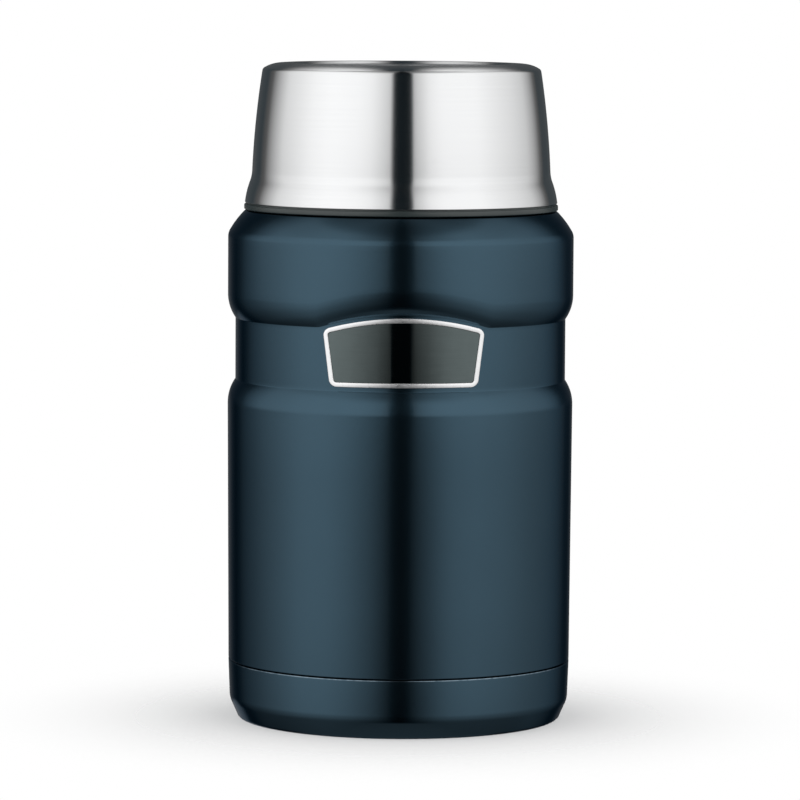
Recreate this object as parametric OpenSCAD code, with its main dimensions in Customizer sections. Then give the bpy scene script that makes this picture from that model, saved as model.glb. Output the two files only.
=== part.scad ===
// Insulated food jar: a double-walled steel vessel, an insulated screw-in stopper,
// and a double-walled steel bowl that screws over both as the lid.
// Millimetres, +Z up, origin at the centre of the foot's underside, badge towards -Y.

/* [Body] */
// Diameter of the jar at the band and at the top of the lower wall
body_d = 100; // [92:0.5:112]
// Overall height of the jar with its lid on
overall_h = 190; // [160:1:230]
// Height of the seam between the lower wall and the base cup
seam_z = 17.3; // [14:0.1:22]
// How much narrower the lower wall's radius is at the seam
wall_taper = 0.45; // [0:0.05:0.8]
// Thickness of the outer steel
outer_sheet = 0.7; // [0.5:0.05:0.9]
// Depth of the V groove round the seam
seam_groove = 0.4; // [0.2:0.05:0.45]

/* [Waist] */
// Depth of the recessed waist
waist_depth = 2.2; // [1.6:0.1:2.8]
// Height of the flat part of the waist
waist_h = 17.8; // [14:0.1:20]
// Rounding radius between the waist and the walls above and below it
waist_round = 12; // [10:0.5:20]
// How far the band's edge arches up over the badge
arch_rise = 3.9; // [3:0.1:5]
// Half the angle round the jar that the arch spans
arch_half_angle = 30; // [28:1:33]

/* [Shoulder] */
// Height of the band from the waist's upper crease to the shoulder
band_h = 23.4; // [18:0.1:30]
// Rounding radius of the band's upper edge
shoulder_edge_r = 4; // [3:0.1:5]
// Slope at the top of that edge, in degrees from upright
shoulder_edge_slope = 30; // [26:1:33]
// Radius of the shoulder's crown
shoulder_r = 27; // [24:0.5:30]
// Slope of the shoulder under the bowl's rim, in degrees from upright
shoulder_slope = 44; // [40:1:46]
// Rounding radius between the shoulder and the ledge round the neck
ledge_round = 3; // [2:0.1:3.5]
// Width of the flat ledge between that rounding and the neck's fillet
ledge_w = 2.9; // [2.6:0.1:4]

/* [Neck] */
// Height of the neck from the ledge to its top edge
neck_h = 16.4; // [13:0.1:18]
// Fillet radius between the ledge and the neck
neck_fillet = 0.8; // [0.5:0.1:1]

/* [Base] */
// How much narrower the base cup's radius is at its bend than at the seam
cup_taper = 0.35; // [0:0.05:0.8]
// Height of the bend above the tapered foot
foot_bend_z = 7.2; // [6:0.1:9]
// Rounding radius of that bend
foot_bend_r = 6; // [4:0.5:8]
// Taper of the foot, in degrees from upright
foot_taper = 24; // [18:1:28]
// Rounding radius of the foot's standing edge
foot_edge_r = 1.5; // [1:0.1:2]
// Width of the flat ring that the jar stands on
foot_ring_w = 4; // [3:0.1:6]
// Depth of the recess under the foot
foot_recess = 3; // [2:0.1:4]
// Depth of the chamber above the base disc
seal_chamber_h = 2; // [1.5:0.1:2.5]
// Distance from that chamber's wall to the wall of the recess
seal_chamber_step = 7.6; // [4:0.1:15]
// Thickness of the base disc
base_disc_t = 0.6; // [0.4:0.05:1]
// Diameter of the hole through which the air is drawn out
evacuation_d = 2; // [1.5:0.1:3]
// Diameter of the glass bead that closes the hole
seal_d = 6; // [5:0.1:9]
// Height of the glass bead
seal_h = 1; // [0.6:0.1:1.2]

/* [Liner] */
// Evacuated gap between the vessel and the waist's steel
vacuum_gap = 3.5; // [2.5:0.1:5]
// Evacuated gap between the vessel's floor and the base cup
vacuum_floor_gap = 5.9; // [4:0.1:8]
// Gap between the vessel's neck and the steel neck round it
neck_gap = 0.5; // [0.3:0.05:0.8]
// Thickness of the vessel's steel
vessel_sheet = 0.6; // [0.4:0.05:0.7]
// Rounding radius inside the vessel's floor
vessel_corner_r = 8.4; // [6:0.1:12]
// Height of the floor dish up to its weld with the vessel's wall
vessel_dish_h = 12.4; // [10.5:0.1:18]
// How far below the outer shoulder the vessel starts to narrow
vessel_shoulder_drop = 2.8; // [2:0.1:8]
// Rounding radius of the vessel's own shoulder
vessel_shoulder_r = 5; // [4:0.1:6]
// Thickness of the rolled lip above the neck
lip_h = 0.8; // [0.6:0.1:1.2]
// How far the lip stands out over the neck
lip_overhang = 0.3; // [0.1:0.05:0.4]
// Thickness of the radiation foil
foil_t = 0.15; // [0.1:0.05:0.3]
// Diameter of the getter tablet
getter_d = 8; // [6:0.5:12]
// Height of the getter tablet
getter_h = 2; // [1.2:0.1:2.4]
// Thickness of the clip round the getter
getter_clip_t = 0.4; // [0.3:0.05:0.6]

/* [Badge] */
// Gap between the badge's upper corners and the ends of the arch
badge_side_gap = 1; // [0.8:0.1:4]
// How much each side of the badge leans in from top to bottom
badge_side_lean = 2; // [0.5:0.1:4]
// Gap between the badge and the top of the arch over it
badge_top_gap = 0.8; // [0.6:0.1:2.5]
// Drop of the badge's upper edge from its middle to its corners
badge_crown = 3.5; // [3:0.1:5]
// Gap between the waist's lower crease and the badge
badge_lift = 1.2; // [0.8:0.1:2]
// Rounding radius of the badge's corners
badge_corner_r = 2.3; // [2.1:0.1:4]
// Width of the badge's bright border
badge_border = 1.2; // [1:0.1:2]
// Thickness of the badge's bright border
badge_frame_t = 1; // [0.6:0.1:1.4]
// Thickness of the badge's bare dark panel
badge_panel_t = 0.7; // [0.4:0.1:1]

/* [Stopper] */
// Depth of the stopper's plug below the lip
plug_depth = 15; // [12:0.5:16]
// Gap round the plug for the neck's rolled thread
plug_gap = 1; // [0.7:0.1:1.3]
// Wall thickness of the stopper's mouldings
stopper_wall = 1.8; // [1.4:0.1:2.2]
// Rounding radius of the plug's lower edge
plug_round = 2; // [1:0.1:3]
// How much smaller the flange's radius is than the neck's
flange_step = 0.1; // [0.1:0.05:0.5]
// How much smaller the cap's radius is than the flange's
cap_step = 1.3; // [0.8:0.1:3]
// Height of the cap's rim above the flange
cap_rim_h = 6; // [5.4:0.1:7]
// Width of the cap's rim
cap_rim_w = 2.4; // [1.8:0.1:3.5]
// Width of the grip bar
grip_w = 12; // [9:0.5:16]
// Height of the grip bar above the cap's rim
grip_rise = 1.6; // [0.8:0.1:2]
// Number of grip scallops round the cap
scallop_count = 30; // [20:1:36]
// Radius of one grip scallop
scallop_r = 2; // [1.5:0.1:2.5]
// Depth of one grip scallop
scallop_depth = 0.6; // [0.3:0.1:0.8]
// Height of the gasket's flat ring
gasket_h = 1.6; // [1.2:0.1:2.2]
// Length of the gasket's wiping sleeve inside the neck
gasket_sleeve_h = 3; // [2:0.1:4]
// Gap between the gasket's sleeve and the neck
gasket_side_gap = 0.3; // [0.3:0.05:0.4]

/* [Bowl lid] */
// Height of the bowl's steel
bowl_h = 40.3; // [36:0.1:48]
// Height of the steel's lower edge above the jar's ledge
bowl_rim_lift = 1.7; // [1.4:0.1:2.2]
// How far the steel's lower edge reaches out over the jar's shoulder
bowl_rim_reach = 1.85; // [1.4:0.05:2.2]
// Thickness of the bowl's steel
bowl_sheet = 0.6; // [0.4:0.05:0.7]
// Slope of the steel at its lower edge, in degrees from upright
rim_slope = 6; // [4:1:8]
// Steepest slope of the flare, in degrees from upright
flare_slope = 20.5; // [17:0.5:21]
// Radius of the flare's convex part
flare_r = 25; // [20:1:28]
// Radius of the flare's hollow part
flare_hollow_r = 10; // [8:0.5:14]
// Slope of the wall above the flare, in degrees from upright
wall_slope = 2.5; // [2:0.1:3]
// Radius of the wall's bow
wall_bow_r = 266; // [240:2:320]
// Rounding radius of the lid's top edge
top_round = 2.5; // [1.6:0.1:3.2]
// Slope of the lid's top just inside that edge, in degrees from level
top_slope = 32; // [20:1:38]
// Radius of the crown that brings that slope up to the flat ring
top_crown_r = 9; // [6:0.5:13]
// Width of the flat ring round the shallow recess in the lid's top
top_ring_w = 3; // [2:0.1:8]
// Depth of that recess
top_recess = 0.8; // [0.4:0.1:1]
// Gap between the bowl's inner wall and the jar's neck
bowl_neck_gap = 1.3; // [1.1:0.05:1.6]
// Draft of the bowl's inner wall, in degrees
bowl_draft = 5.5; // [4:0.5:5.5]
// Rounding radius inside the bowl
bowl_corner_r = 10; // [7:0.5:12]
// Gap between the bowl's two walls at its foot
bowl_foot_gap = 2.4; // [1.5:0.1:5]
// How far the dark rim strip stands out under the steel
strip_step = 0.2; // [0:0.05:0.4]
// Height of the dark rim strip
strip_h = 2.1; // [1.5:0.1:2.2]
// Height of the thread ring inside the steel
thread_ring_h = 9.3; // [7:0.1:9.8]
// Gap between the thread ring's bore and the jar's neck, which the threads fill
thread_gap = 1.4; // [1.2:0.05:1.6]
// Width of the bowl's gasket
bowl_gasket_w = 2; // [1.4:0.1:2]
// Height of the bowl's gasket
bowl_gasket_h = 1.4; // [1:0.1:1.6]

/* [Fits] */
// Gap between each gasket and the face that it seals on
seal_gap = 0.1; // [0.05:0.05:0.3]
// Gap between the bowl's rim and the jar's shoulder
rim_gap = 0.3; // [0.2:0.05:0.4]
// Gap between sheet parts that are welded or pressed together
weld_gap = 0.1; // [0.05:0.05:0.15]
// Gap between the stopper's foam and the mouldings round it
foam_gap = 0.3; // [0.2:0.05:0.6]

/* [Hidden] */
$fn = 128;
arc_steps = 8;
cut_past = 1;                       // how far a cutting shape runs past what it cuts

body_r = body_d / 2;
seam_r = body_r - wall_taper;
cup_r = seam_r - cup_taper;
waist_r = body_r - waist_depth;

// Heights are worked out from the lid's top down to the waist.
bowl_rim_z = overall_h - bowl_h;
ledge_z = bowl_rim_z - bowl_rim_lift;
shoulder_rise = ledge_round + (shoulder_r - ledge_round) * sin(shoulder_slope)
    - (shoulder_r - shoulder_edge_r) * sin(shoulder_edge_slope);
shoulder_z = ledge_z - shoulder_rise;
waist_top_z = shoulder_z - band_h;
waist_z = waist_top_z - waist_h;

// The waist's rounding arcs meet the walls upright and the waist at a crease.
waist_arc_x = body_r - waist_round;
waist_arc_h = sqrt(pow(waist_round, 2) - pow(waist_r - waist_arc_x, 2));
waist_low_arc_z = waist_z - waist_arc_h;
waist_high_arc_z = waist_top_z + waist_arc_h;

// The arch is turned about an axis that leans forward, so that its edge rises at the front.
arch_tilt = atan(arch_rise / (waist_r * (1 - cos(arch_half_angle))));
arch_top_z = waist_high_arc_z + arch_rise;
arch_axis = [body_r * pow(sin(arch_tilt), 2), arch_top_z - body_r * sin(arch_tilt) * cos(arch_tilt)];
arch_run_out = 0.2;                 // how far the arch's rounding ends outside the band
arch_entry_angle = 50;              // how far that rounding turns on its way in to the waist
arch_reach = 10;                    // how far a cutting shape reaches outside the body

// The shoulder is a chain of arcs, each tangent to the one before it.
shoulder_edge_c = [body_r - shoulder_edge_r, shoulder_z];
shoulder_c = shoulder_edge_c - (shoulder_r - shoulder_edge_r) * along(shoulder_edge_slope);
ledge_c = shoulder_c + (shoulder_r - ledge_round) * along(shoulder_slope);
neck_r = ledge_c.x - ledge_w - neck_fillet;
neck_fillet_c = [neck_r + neck_fillet, ledge_z + neck_fillet];
neck_top_z = ledge_z + neck_h;
lip_z = neck_top_z + lip_h;

// Foot
foot_bend_c = [cup_r - foot_bend_r, foot_bend_z];
foot_bend_end = foot_bend_c + foot_bend_r * along(-foot_taper);
foot_edge_top_z = foot_edge_r * (1 - sin(foot_taper));
foot_edge_c = [
    foot_bend_end.x - (foot_bend_end.y - foot_edge_top_z) * tan(foot_taper) - foot_edge_r * cos(foot_taper),
    foot_edge_r
];
foot_recess_r = foot_edge_c.x - foot_ring_w;
seal_chamber_z = foot_recess + seal_chamber_h;
seal_chamber_r = foot_recess_r - seal_chamber_step;

// Vessel
vessel_r = waist_r - outer_sheet - vacuum_gap;
vessel_neck_r = neck_r - outer_sheet - neck_gap;
mouth_r = vessel_neck_r - vessel_sheet;
vessel_base_z = seal_chamber_z + outer_sheet + vacuum_floor_gap;
vessel_weld_z = vessel_base_z + vessel_dish_h;
vessel_neck_z = shoulder_z - vessel_shoulder_drop;
vessel_turn = 60;                   // how far each of the two arcs of the vessel's shoulder turns
vessel_shoulder_c = [vessel_r - vessel_shoulder_r, vessel_neck_z];
vessel_drop = vessel_r - vessel_neck_r - vessel_shoulder_r * (1 - cos(vessel_turn));
vessel_hollow_r = vessel_drop / (1 - cos(vessel_turn));
vessel_hollow_c = vessel_shoulder_c + (vessel_shoulder_r + vessel_hollow_r) * along(vessel_turn);
vessel_corner_c = [vessel_r, vessel_base_z] + (vessel_sheet + vessel_corner_r) * [-1, 1];
foil_r = vessel_r + weld_gap;
foil_end_gap = 1;                   // how far the foil's ends stay from the weld and the shoulder

// Badge
badge_z = waist_z + badge_lift;
badge_top_z = waist_top_z + arch_rise - badge_top_gap;
badge_h = badge_top_z - badge_z;
badge_seat_r = waist_r + weld_gap / 2;
badge_top_x = waist_r * sin(arch_half_angle) - badge_side_gap;
badge_low_x = badge_top_x - badge_side_lean;
badge_corner_trim = 3;              // degrees of the crown that each upper corner takes up

// Stopper
plug_r = mouth_r - plug_gap;
plug_z = lip_z - plug_depth;
gasket_z = lip_z + seal_gap;
flange_z = gasket_z + gasket_h + seal_gap;
flange_top_z = flange_z + stopper_wall;
cap_floor_z = flange_top_z + stopper_wall;
cap_rim_z = flange_top_z + cap_rim_h;
grip_top_z = cap_rim_z + grip_rise;
gasket_bore_r = plug_r + seal_gap;
flange_r = neck_r - flange_step;
cap_r = flange_r - cap_step;

// Bowl
bowl_rim_r = ledge_c.x + bowl_rim_reach;
flare_c = [bowl_rim_r, bowl_rim_z] - flare_r * along(rim_slope);
flare_hollow_c = flare_c + (flare_r + flare_hollow_r) * along(flare_slope);
wall_start = flare_hollow_c - flare_hollow_r * along(wall_slope);
wall_c = wall_start - wall_bow_r * along(wall_slope);
// The wall runs up to the top edge's rounding, which the crown carries on to the flat ring.
top_edge_z = overall_h - top_crown_r + (top_crown_r - top_round) * cos(top_slope);
wall_top_slope = asin((top_edge_z - wall_c.y) / (wall_bow_r - top_round));
top_edge_c = wall_c + (wall_bow_r - top_round) * along(wall_top_slope);
top_crown_c = top_edge_c - (top_crown_r - top_round) * along(90 - top_slope);
top_recess_r = top_crown_c.x - top_ring_w - top_recess;
recess_miter = tan(45 / 2);         // how far the corners of the recess's 45-degree edge move per inset
strip_r = bowl_rim_r + strip_step;
thread_ring_bore_r = neck_r + thread_gap;
thread_ring_top_z = bowl_rim_z + thread_ring_h;
strip_z = bowl_rim_z - weld_gap - strip_h;
bowl_liner_z = thread_ring_top_z + weld_gap;
bowl_mouth_r = neck_r + bowl_neck_gap;
bowl_floor_z = overall_h - top_recess - bowl_sheet - bowl_foot_gap - bowl_sheet;
bowl_gasket_z = ledge_z + seal_gap;
bowl_gasket_r = thread_ring_bore_r + bowl_gasket_w;

// Direction in a profile's plane, in degrees above level
function along(angle) = [cos(angle), sin(angle)];

// Points along an arc of a profile
function arc(centre, r, from, to) =
    [for (i = [0:arc_steps]) centre + r * along(from + (to - from) * i / arc_steps)];

// ---------------------------------------------------------------- outer shell

function waist_angle(inset) = acos((waist_r - inset - waist_arc_x) / (waist_round - inset));

// The jar's outline from the seam to the neck's top, moved inwards by inset
function jar_outline(inset, past, groove) = concat(
    [
        [0, seam_z - past],
        [seam_r - inset - groove, seam_z - past],
        [seam_r - inset, seam_z - past + groove]
    ],
    arc([waist_arc_x, waist_low_arc_z], waist_round - inset, 0, waist_angle(inset)),
    arc([waist_arc_x, waist_high_arc_z], waist_round - inset, -waist_angle(inset), 0),
    arc(shoulder_edge_c, shoulder_edge_r - inset, 0, shoulder_edge_slope),
    arc(shoulder_c, shoulder_r - inset, shoulder_edge_slope, shoulder_slope),
    arc(ledge_c, ledge_round - inset, shoulder_slope, 90),
    arc(neck_fillet_c, neck_fillet + inset, 270, 180),
    [
        [neck_r - inset, neck_top_z + past],
        [0, neck_top_z + past]
    ]
);

// A point of the front profile, seen from the arch's leaning axis
function arch_point(p) = [
    (p.x - arch_axis.x) * cos(arch_tilt) + (p.y - arch_axis.y) * sin(arch_tilt),
    (p.y - arch_axis.y) * cos(arch_tilt) - (p.x - arch_axis.x) * sin(arch_tilt)
];

function arch_outline(inset) = concat(
    arc([waist_arc_x + arch_run_out, arch_top_z], waist_round - inset, -arch_entry_angle, 0),
    [
        [body_r + arch_reach, arch_top_z],
        [body_r + arch_reach, waist_z + waist_h / 2],
        [waist_arc_x, waist_z + waist_h / 2]
    ]
);

// What the arch over the badge takes out of the band
module arch_cut(inset) {
    intersection() {
        translate([0, -arch_axis.x, arch_axis.y])
            rotate([-arch_tilt, 0, 0])
                rotate_extrude()
                    polygon([for (p = arch_outline(inset)) arch_point(p)]);
        translate([0, 0, waist_top_z - cut_past])
            difference() {
                cylinder(h = arch_top_z - waist_top_z + 2 * cut_past, r = body_r + arch_reach);
                translate([0, 0, -cut_past])
                    cylinder(h = arch_top_z - waist_top_z + 4 * cut_past, r = waist_r - inset);
            }
    }
}

// The whole outer form as a solid; with an inset it is the space inside the sheet
module jar_form(inset, past = 0, groove = 0) {
    difference() {
        rotate_extrude() polygon(jar_outline(inset, past, groove));
        arch_cut(inset);
    }
}

module outer_shell() {
    color("midnightblue")
        difference() {
            jar_form(0, groove = seam_groove);
            jar_form(outer_sheet, past = cut_past);
        }
}

// ---------------------------------------------------------------- base

function foot_outline(inset, past, groove) = concat(
    [
        [0, seam_z + past],
        [seam_r - inset - groove, seam_z + past],
        [seam_r - inset, seam_z + past - groove]
    ],
    arc(foot_bend_c, foot_bend_r - inset, 0, -foot_taper),
    arc(foot_edge_c, foot_edge_r - inset, -foot_taper, -90),
    [[0, inset]]
);

// The recess under the foot; with an inset it is grown to leave the sheet standing
module foot_hollow(inset) {
    translate([0, 0, -cut_past])
        cylinder(h = foot_recess + inset + cut_past, r = foot_recess_r + inset);
    cylinder(h = seal_chamber_z + inset, r = seal_chamber_r + inset);
}

module foot_form(inset, past = 0, groove = 0) {
    difference() {
        rotate_extrude() polygon(foot_outline(inset, past, groove));
        foot_hollow(inset);
    }
}

module outer_bottom() {
    color("midnightblue")
        difference() {
            foot_form(0, groove = seam_groove);
            foot_form(outer_sheet, past = cut_past);
            cylinder(h = seam_z, d = evacuation_d);
        }
}

module base_disc() {
    color("silver")
        translate([0, 0, foot_recess - base_disc_t])
            cylinder(h = base_disc_t, r = foot_recess_r - weld_gap);
}

// A flat-topped bead of glass under the evacuation hole
module vacuum_seal() {
    bead_r = (pow(seal_d / 2, 2) + pow(seal_h, 2)) / (2 * seal_h);
    color("lightcyan")
        intersection() {
            translate([0, 0, seal_chamber_z - seal_h + bead_r]) sphere(r = bead_r);
            translate([0, 0, seal_chamber_z - seal_h - cut_past])
                cylinder(h = seal_h + cut_past, d = seal_d + cut_past);
        }
}

// ---------------------------------------------------------------- food vessel

function vessel_outline(inset, past) = concat(
    [
        [0, vessel_weld_z - past],
        [vessel_r - inset, vessel_weld_z - past]
    ],
    arc(vessel_shoulder_c, vessel_shoulder_r - inset, 0, vessel_turn),
    arc(vessel_hollow_c, vessel_hollow_r + inset, 180 + vessel_turn, 180),
    [
        [vessel_neck_r - inset, lip_z + past],
        [0, lip_z + past]
    ]
);

// The lip laps over the top edge of the neck, with its outer edge rolled round.
module lip() {
    lip_r = lip_h / 2;
    translate([0, 0, neck_top_z])
        rotate_extrude() {
            translate([mouth_r, 0]) square([neck_r + lip_overhang - lip_r - mouth_r, lip_h]);
            translate([neck_r + lip_overhang - lip_r, lip_r]) circle(r = lip_r);
        }
}

module inner_liner() {
    color("silver") {
        difference() {
            union() {
                rotate_extrude() polygon(vessel_outline(0, 0));
                lip();
            }
            rotate_extrude() polygon(vessel_outline(vessel_sheet, cut_past));
        }
    }
}

function dish_outline(inset, past) = concat(
    [[0, vessel_base_z + inset]],
    arc(vessel_corner_c, vessel_corner_r + vessel_sheet - inset, -90, 0),
    [
        [vessel_r - inset, vessel_weld_z + past],
        [0, vessel_weld_z + past]
    ]
);

module liner_bottom() {
    color("silver")
        difference() {
            rotate_extrude() polygon(dish_outline(0, 0));
            rotate_extrude() polygon(dish_outline(vessel_sheet, cut_past));
        }
}

module radiation_foil() {
    foil_z = vessel_weld_z + foil_end_gap;
    foil_h = vessel_neck_z - foil_end_gap - foil_z;
    color("lightgray")
        translate([0, 0, foil_z])
            difference() {
                cylinder(h = foil_h, r = foil_r + foil_t);
                translate([0, 0, -cut_past]) cylinder(h = foil_h + 2 * cut_past, r = foil_r);
            }
}

module getter() {
    color("dimgray")
        translate([0, 0, vessel_base_z - weld_gap - getter_h])
            cylinder(h = getter_h, d = getter_d);
}

// A shallow cup, welded by its rim under the vessel's floor
module getter_clip() {
    cup_h = getter_h + 2 * weld_gap;
    cup_d = getter_d + 2 * weld_gap;
    color("silver")
        translate([0, 0, vessel_base_z - cup_h])
            difference() {
                translate([0, 0, -getter_clip_t])
                    cylinder(h = cup_h + getter_clip_t, d = cup_d + 2 * getter_clip_t);
                cylinder(h = cup_h + cut_past, d = cup_d);
            }
}

// ---------------------------------------------------------------- badge

// One rounded corner of a convex outline, between its neighbours before and after
function rounded_corner(before, corner, after, r) =
    let (
        to_before = (before - corner) / norm(before - corner),
        to_after = (after - corner) / norm(after - corner),
        half = acos(to_before * to_after) / 2,
        bisector = (to_before + to_after) / norm(to_before + to_after),
        centre = corner + bisector * r / sin(half),
        middle = atan2(-bisector.y, -bisector.x)
    )
    arc(centre, r, middle - (90 - half), middle + (90 - half));

// The badge seen from the front: a crowned top, slanting sides and a level lower edge
function badge_outline(inset) =
    let (
        crown_r = (pow(badge_top_x, 2) + pow(badge_crown, 2)) / (2 * badge_crown),
        crown_z = badge_top_z - crown_r,
        lean = atan2(badge_side_lean, badge_h - badge_crown),
        side_inset = inset / cos(lean),
        low_z = badge_z + inset,
        low_x = badge_low_x - side_inset + inset * tan(lean),
        high_x = badge_top_x - side_inset,
        high_z = crown_z + sqrt(pow(crown_r - inset, 2) - pow(high_x, 2)),
        crown_angle = asin(high_x / (crown_r - inset)),
        r = badge_corner_r - inset,
        crown_end = 90 - crown_angle,
        crown_start = crown_end + badge_corner_trim,
        crown_points = arc([0, crown_z], crown_r - inset, crown_start, 180 - crown_start),
        right = rounded_corner([low_x, low_z], [high_x, high_z], crown_points[0], r),
        low_right = rounded_corner([0, low_z], [low_x, low_z], [high_x, high_z], r)
    )
    concat(
        low_right,
        right,
        crown_points,
        [for (i = [len(right) - 1:-1:0]) [-right[i].x, right[i].y]],
        [for (i = [len(low_right) - 1:-1:0]) [-low_right[i].x, low_right[i].y]]
    );

// A curved plate of the badge's outline, lying on the waist
module badge_plate(inset, thickness) {
    intersection() {
        rotate([90, 0, 0])
            linear_extrude(height = body_r + arch_reach)
                polygon(badge_outline(inset));
        translate([0, 0, badge_z - cut_past])
            difference() {
                cylinder(h = badge_h + 2 * cut_past, r = badge_seat_r + thickness);
                translate([0, 0, -cut_past])
                    cylinder(h = badge_h + 4 * cut_past, r = badge_seat_r);
            }
    }
}

module badge_panel() {
    color("dimgray") badge_plate(badge_border + weld_gap / 2, badge_panel_t);
}

module badge_frame() {
    color("whitesmoke")
        difference() {
            badge_plate(0, badge_frame_t);
            rotate([90, 0, 0])
                linear_extrude(height = body_r + arch_reach)
                    polygon(badge_outline(badge_border));
        }
}

// ---------------------------------------------------------------- stopper

module stopper_core() {
    floor_c = [plug_r - plug_round, plug_z + plug_round];
    color("darkslategray")
        difference() {
            rotate_extrude()
                polygon(concat(
                    [[0, plug_z]],
                    arc(floor_c, plug_round, -90, 0),
                    [
                        [plug_r, flange_z],
                        [flange_r, flange_z],
                        [flange_r, flange_top_z],
                        [0, flange_top_z]
                    ]
                ));
            translate([0, 0, plug_z + stopper_wall])
                cylinder(h = plug_depth + cap_rim_h, r = plug_r - stopper_wall);
        }
}

module stopper_foam() {
    color("ivory")
        translate([0, 0, plug_z + stopper_wall + foam_gap])
            cylinder(
                h = flange_top_z - plug_z - stopper_wall - 2 * foam_gap,
                r = plug_r - stopper_wall - foam_gap
            );
}

// A straight bar across the cap, whose ends follow the cap's rim
module grip_bar(inset, low_z, high_z) {
    intersection() {
        translate([-cap_r, -grip_w / 2 + inset, low_z])
            cube([2 * cap_r, grip_w - 2 * inset, high_z - low_z]);
        cylinder(h = high_z, r = cap_r - cap_rim_w / 2 - inset);
    }
}

module stopper_cap() {
    color("darkslategray")
        difference() {
            union() {
                translate([0, 0, flange_top_z]) cylinder(h = cap_rim_h, r = cap_r);
                grip_bar(0, flange_top_z, grip_top_z);
            }
            difference() {
                translate([0, 0, cap_floor_z])
                    cylinder(h = cap_rim_h, r = cap_r - cap_rim_w);
                grip_bar(0, flange_top_z, grip_top_z);
            }
            grip_bar(stopper_wall, flange_top_z - cut_past, grip_top_z - stopper_wall);
            for (i = [0:scallop_count - 1])
                rotate([0, 0, (i + 0.5) * 360 / scallop_count])
                    translate([cap_r + scallop_r - scallop_depth, 0, flange_top_z + stopper_wall])
                        cylinder(h = cap_rim_h, r = scallop_r);
        }
}

// A flat ring under the flange, with a sleeve that wipes the inside of the neck
module stopper_gasket() {
    color("gainsboro")
        difference() {
            union() {
                translate([0, 0, gasket_z]) cylinder(h = gasket_h, r = flange_r);
                translate([0, 0, gasket_z - gasket_sleeve_h])
                    cylinder(h = gasket_sleeve_h + gasket_h, r = mouth_r - gasket_side_gap);
            }
            translate([0, 0, gasket_z - gasket_sleeve_h - cut_past])
                cylinder(h = gasket_sleeve_h + gasket_h + 2 * cut_past, r = gasket_bore_r);
        }
}

// ---------------------------------------------------------------- bowl lid

function bowl_outline(inset, past) = concat(
    [
        [0, bowl_rim_z - past],
        [bowl_rim_r - inset + past * tan(rim_slope), bowl_rim_z - past]
    ],
    arc(flare_c, flare_r - inset, rim_slope, flare_slope),
    arc(flare_hollow_c, flare_hollow_r + inset, 180 + flare_slope, 180 + wall_slope),
    arc(wall_c, wall_bow_r - inset, wall_slope, wall_top_slope),
    arc(top_edge_c, top_round - inset, wall_top_slope, 90 - top_slope),
    arc(top_crown_c, top_crown_r - inset, 90 - top_slope, 90),
    [
        [top_recess_r + top_recess + inset * recess_miter, overall_h - inset],
        [top_recess_r + inset * recess_miter, overall_h - inset - top_recess],
        [0, overall_h - inset - top_recess]
    ]
);

module bowl_form(inset, past = 0) {
    rotate_extrude() polygon(bowl_outline(inset, past));
}

module bowl_shell() {
    color("lightgray")
        difference() {
            bowl_form(0);
            bowl_form(bowl_sheet, cut_past);
        }
}

function bowl_inside(inset, past) =
    let (
        mouth_r = bowl_mouth_r + inset,
        corner_r = bowl_corner_r + inset,
        corner_z = bowl_floor_z - bowl_corner_r,
        wall_end_z = corner_z + corner_r * sin(bowl_draft),
        wall_end_x = mouth_r - (wall_end_z - bowl_liner_z) * tan(bowl_draft),
        corner_c = [wall_end_x - corner_r * cos(bowl_draft), corner_z]
    )
    concat(
        [
            [0, bowl_liner_z - past],
            [mouth_r + past * tan(bowl_draft), bowl_liner_z - past]
        ],
        arc(corner_c, corner_r, bowl_draft, 90),
        [[0, bowl_floor_z + inset]]
    );

// The bowl's inner wall, with a flange that reaches out to the shell at the rim
module bowl_liner() {
    color("silver")
        difference() {
            union() {
                rotate_extrude() polygon(bowl_inside(bowl_sheet, 0));
                intersection() {
                    bowl_form(bowl_sheet + weld_gap);
                    translate([0, 0, bowl_liner_z]) cylinder(h = bowl_sheet, r = bowl_rim_r);
                }
            }
            rotate_extrude() polygon(bowl_inside(0, cut_past));
        }
}

// The strip shows below the steel; the ring behind it carries the thread.
module bowl_thread_ring() {
    color("darkslategray")
        difference() {
            union() {
                translate([0, 0, strip_z]) cylinder(h = strip_h, r = strip_r);
                intersection() {
                    bowl_form(bowl_sheet + weld_gap, strip_h);
                    translate([0, 0, strip_z])
                        cylinder(h = thread_ring_top_z - strip_z, r = bowl_rim_r);
                }
            }
            translate([0, 0, strip_z - cut_past])
                cylinder(h = thread_ring_top_z - strip_z + 2 * cut_past, r = thread_ring_bore_r);
            jar_form(-rim_gap);
            translate([0, 0, bowl_gasket_z - cut_past])
                cylinder(h = bowl_gasket_h + seal_gap + cut_past, r = bowl_gasket_r + seal_gap);
        }
}

module bowl_gasket() {
    color("black")
        translate([0, 0, bowl_gasket_z])
            difference() {
                cylinder(h = bowl_gasket_h, r = bowl_gasket_r);
                translate([0, 0, -cut_past])
                    cylinder(h = bowl_gasket_h + 2 * cut_past, r = thread_ring_bore_r);
            }
}

outer_shell();
outer_bottom();
base_disc();
vacuum_seal();
inner_liner();
liner_bottom();
radiation_foil();
getter();
getter_clip();
badge_panel();
badge_frame();
stopper_core();
stopper_cap();
stopper_foam();
stopper_gasket();
bowl_shell();
bowl_liner();
bowl_thread_ring();
bowl_gasket();
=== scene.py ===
"""Looks of the insulated food jar: painted body, bare badge, brushed steel bowl lid, stopper and vessel.

Profiles are (radius, height) points in the part's millimetres, turned about Z and scaled to metres.
Angles are in degrees. An angle round the jar is measured from the badge's side, -Y, towards +X.
"""

import math

import bmesh
import bpy
from mathutils import Matrix, Vector


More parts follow.
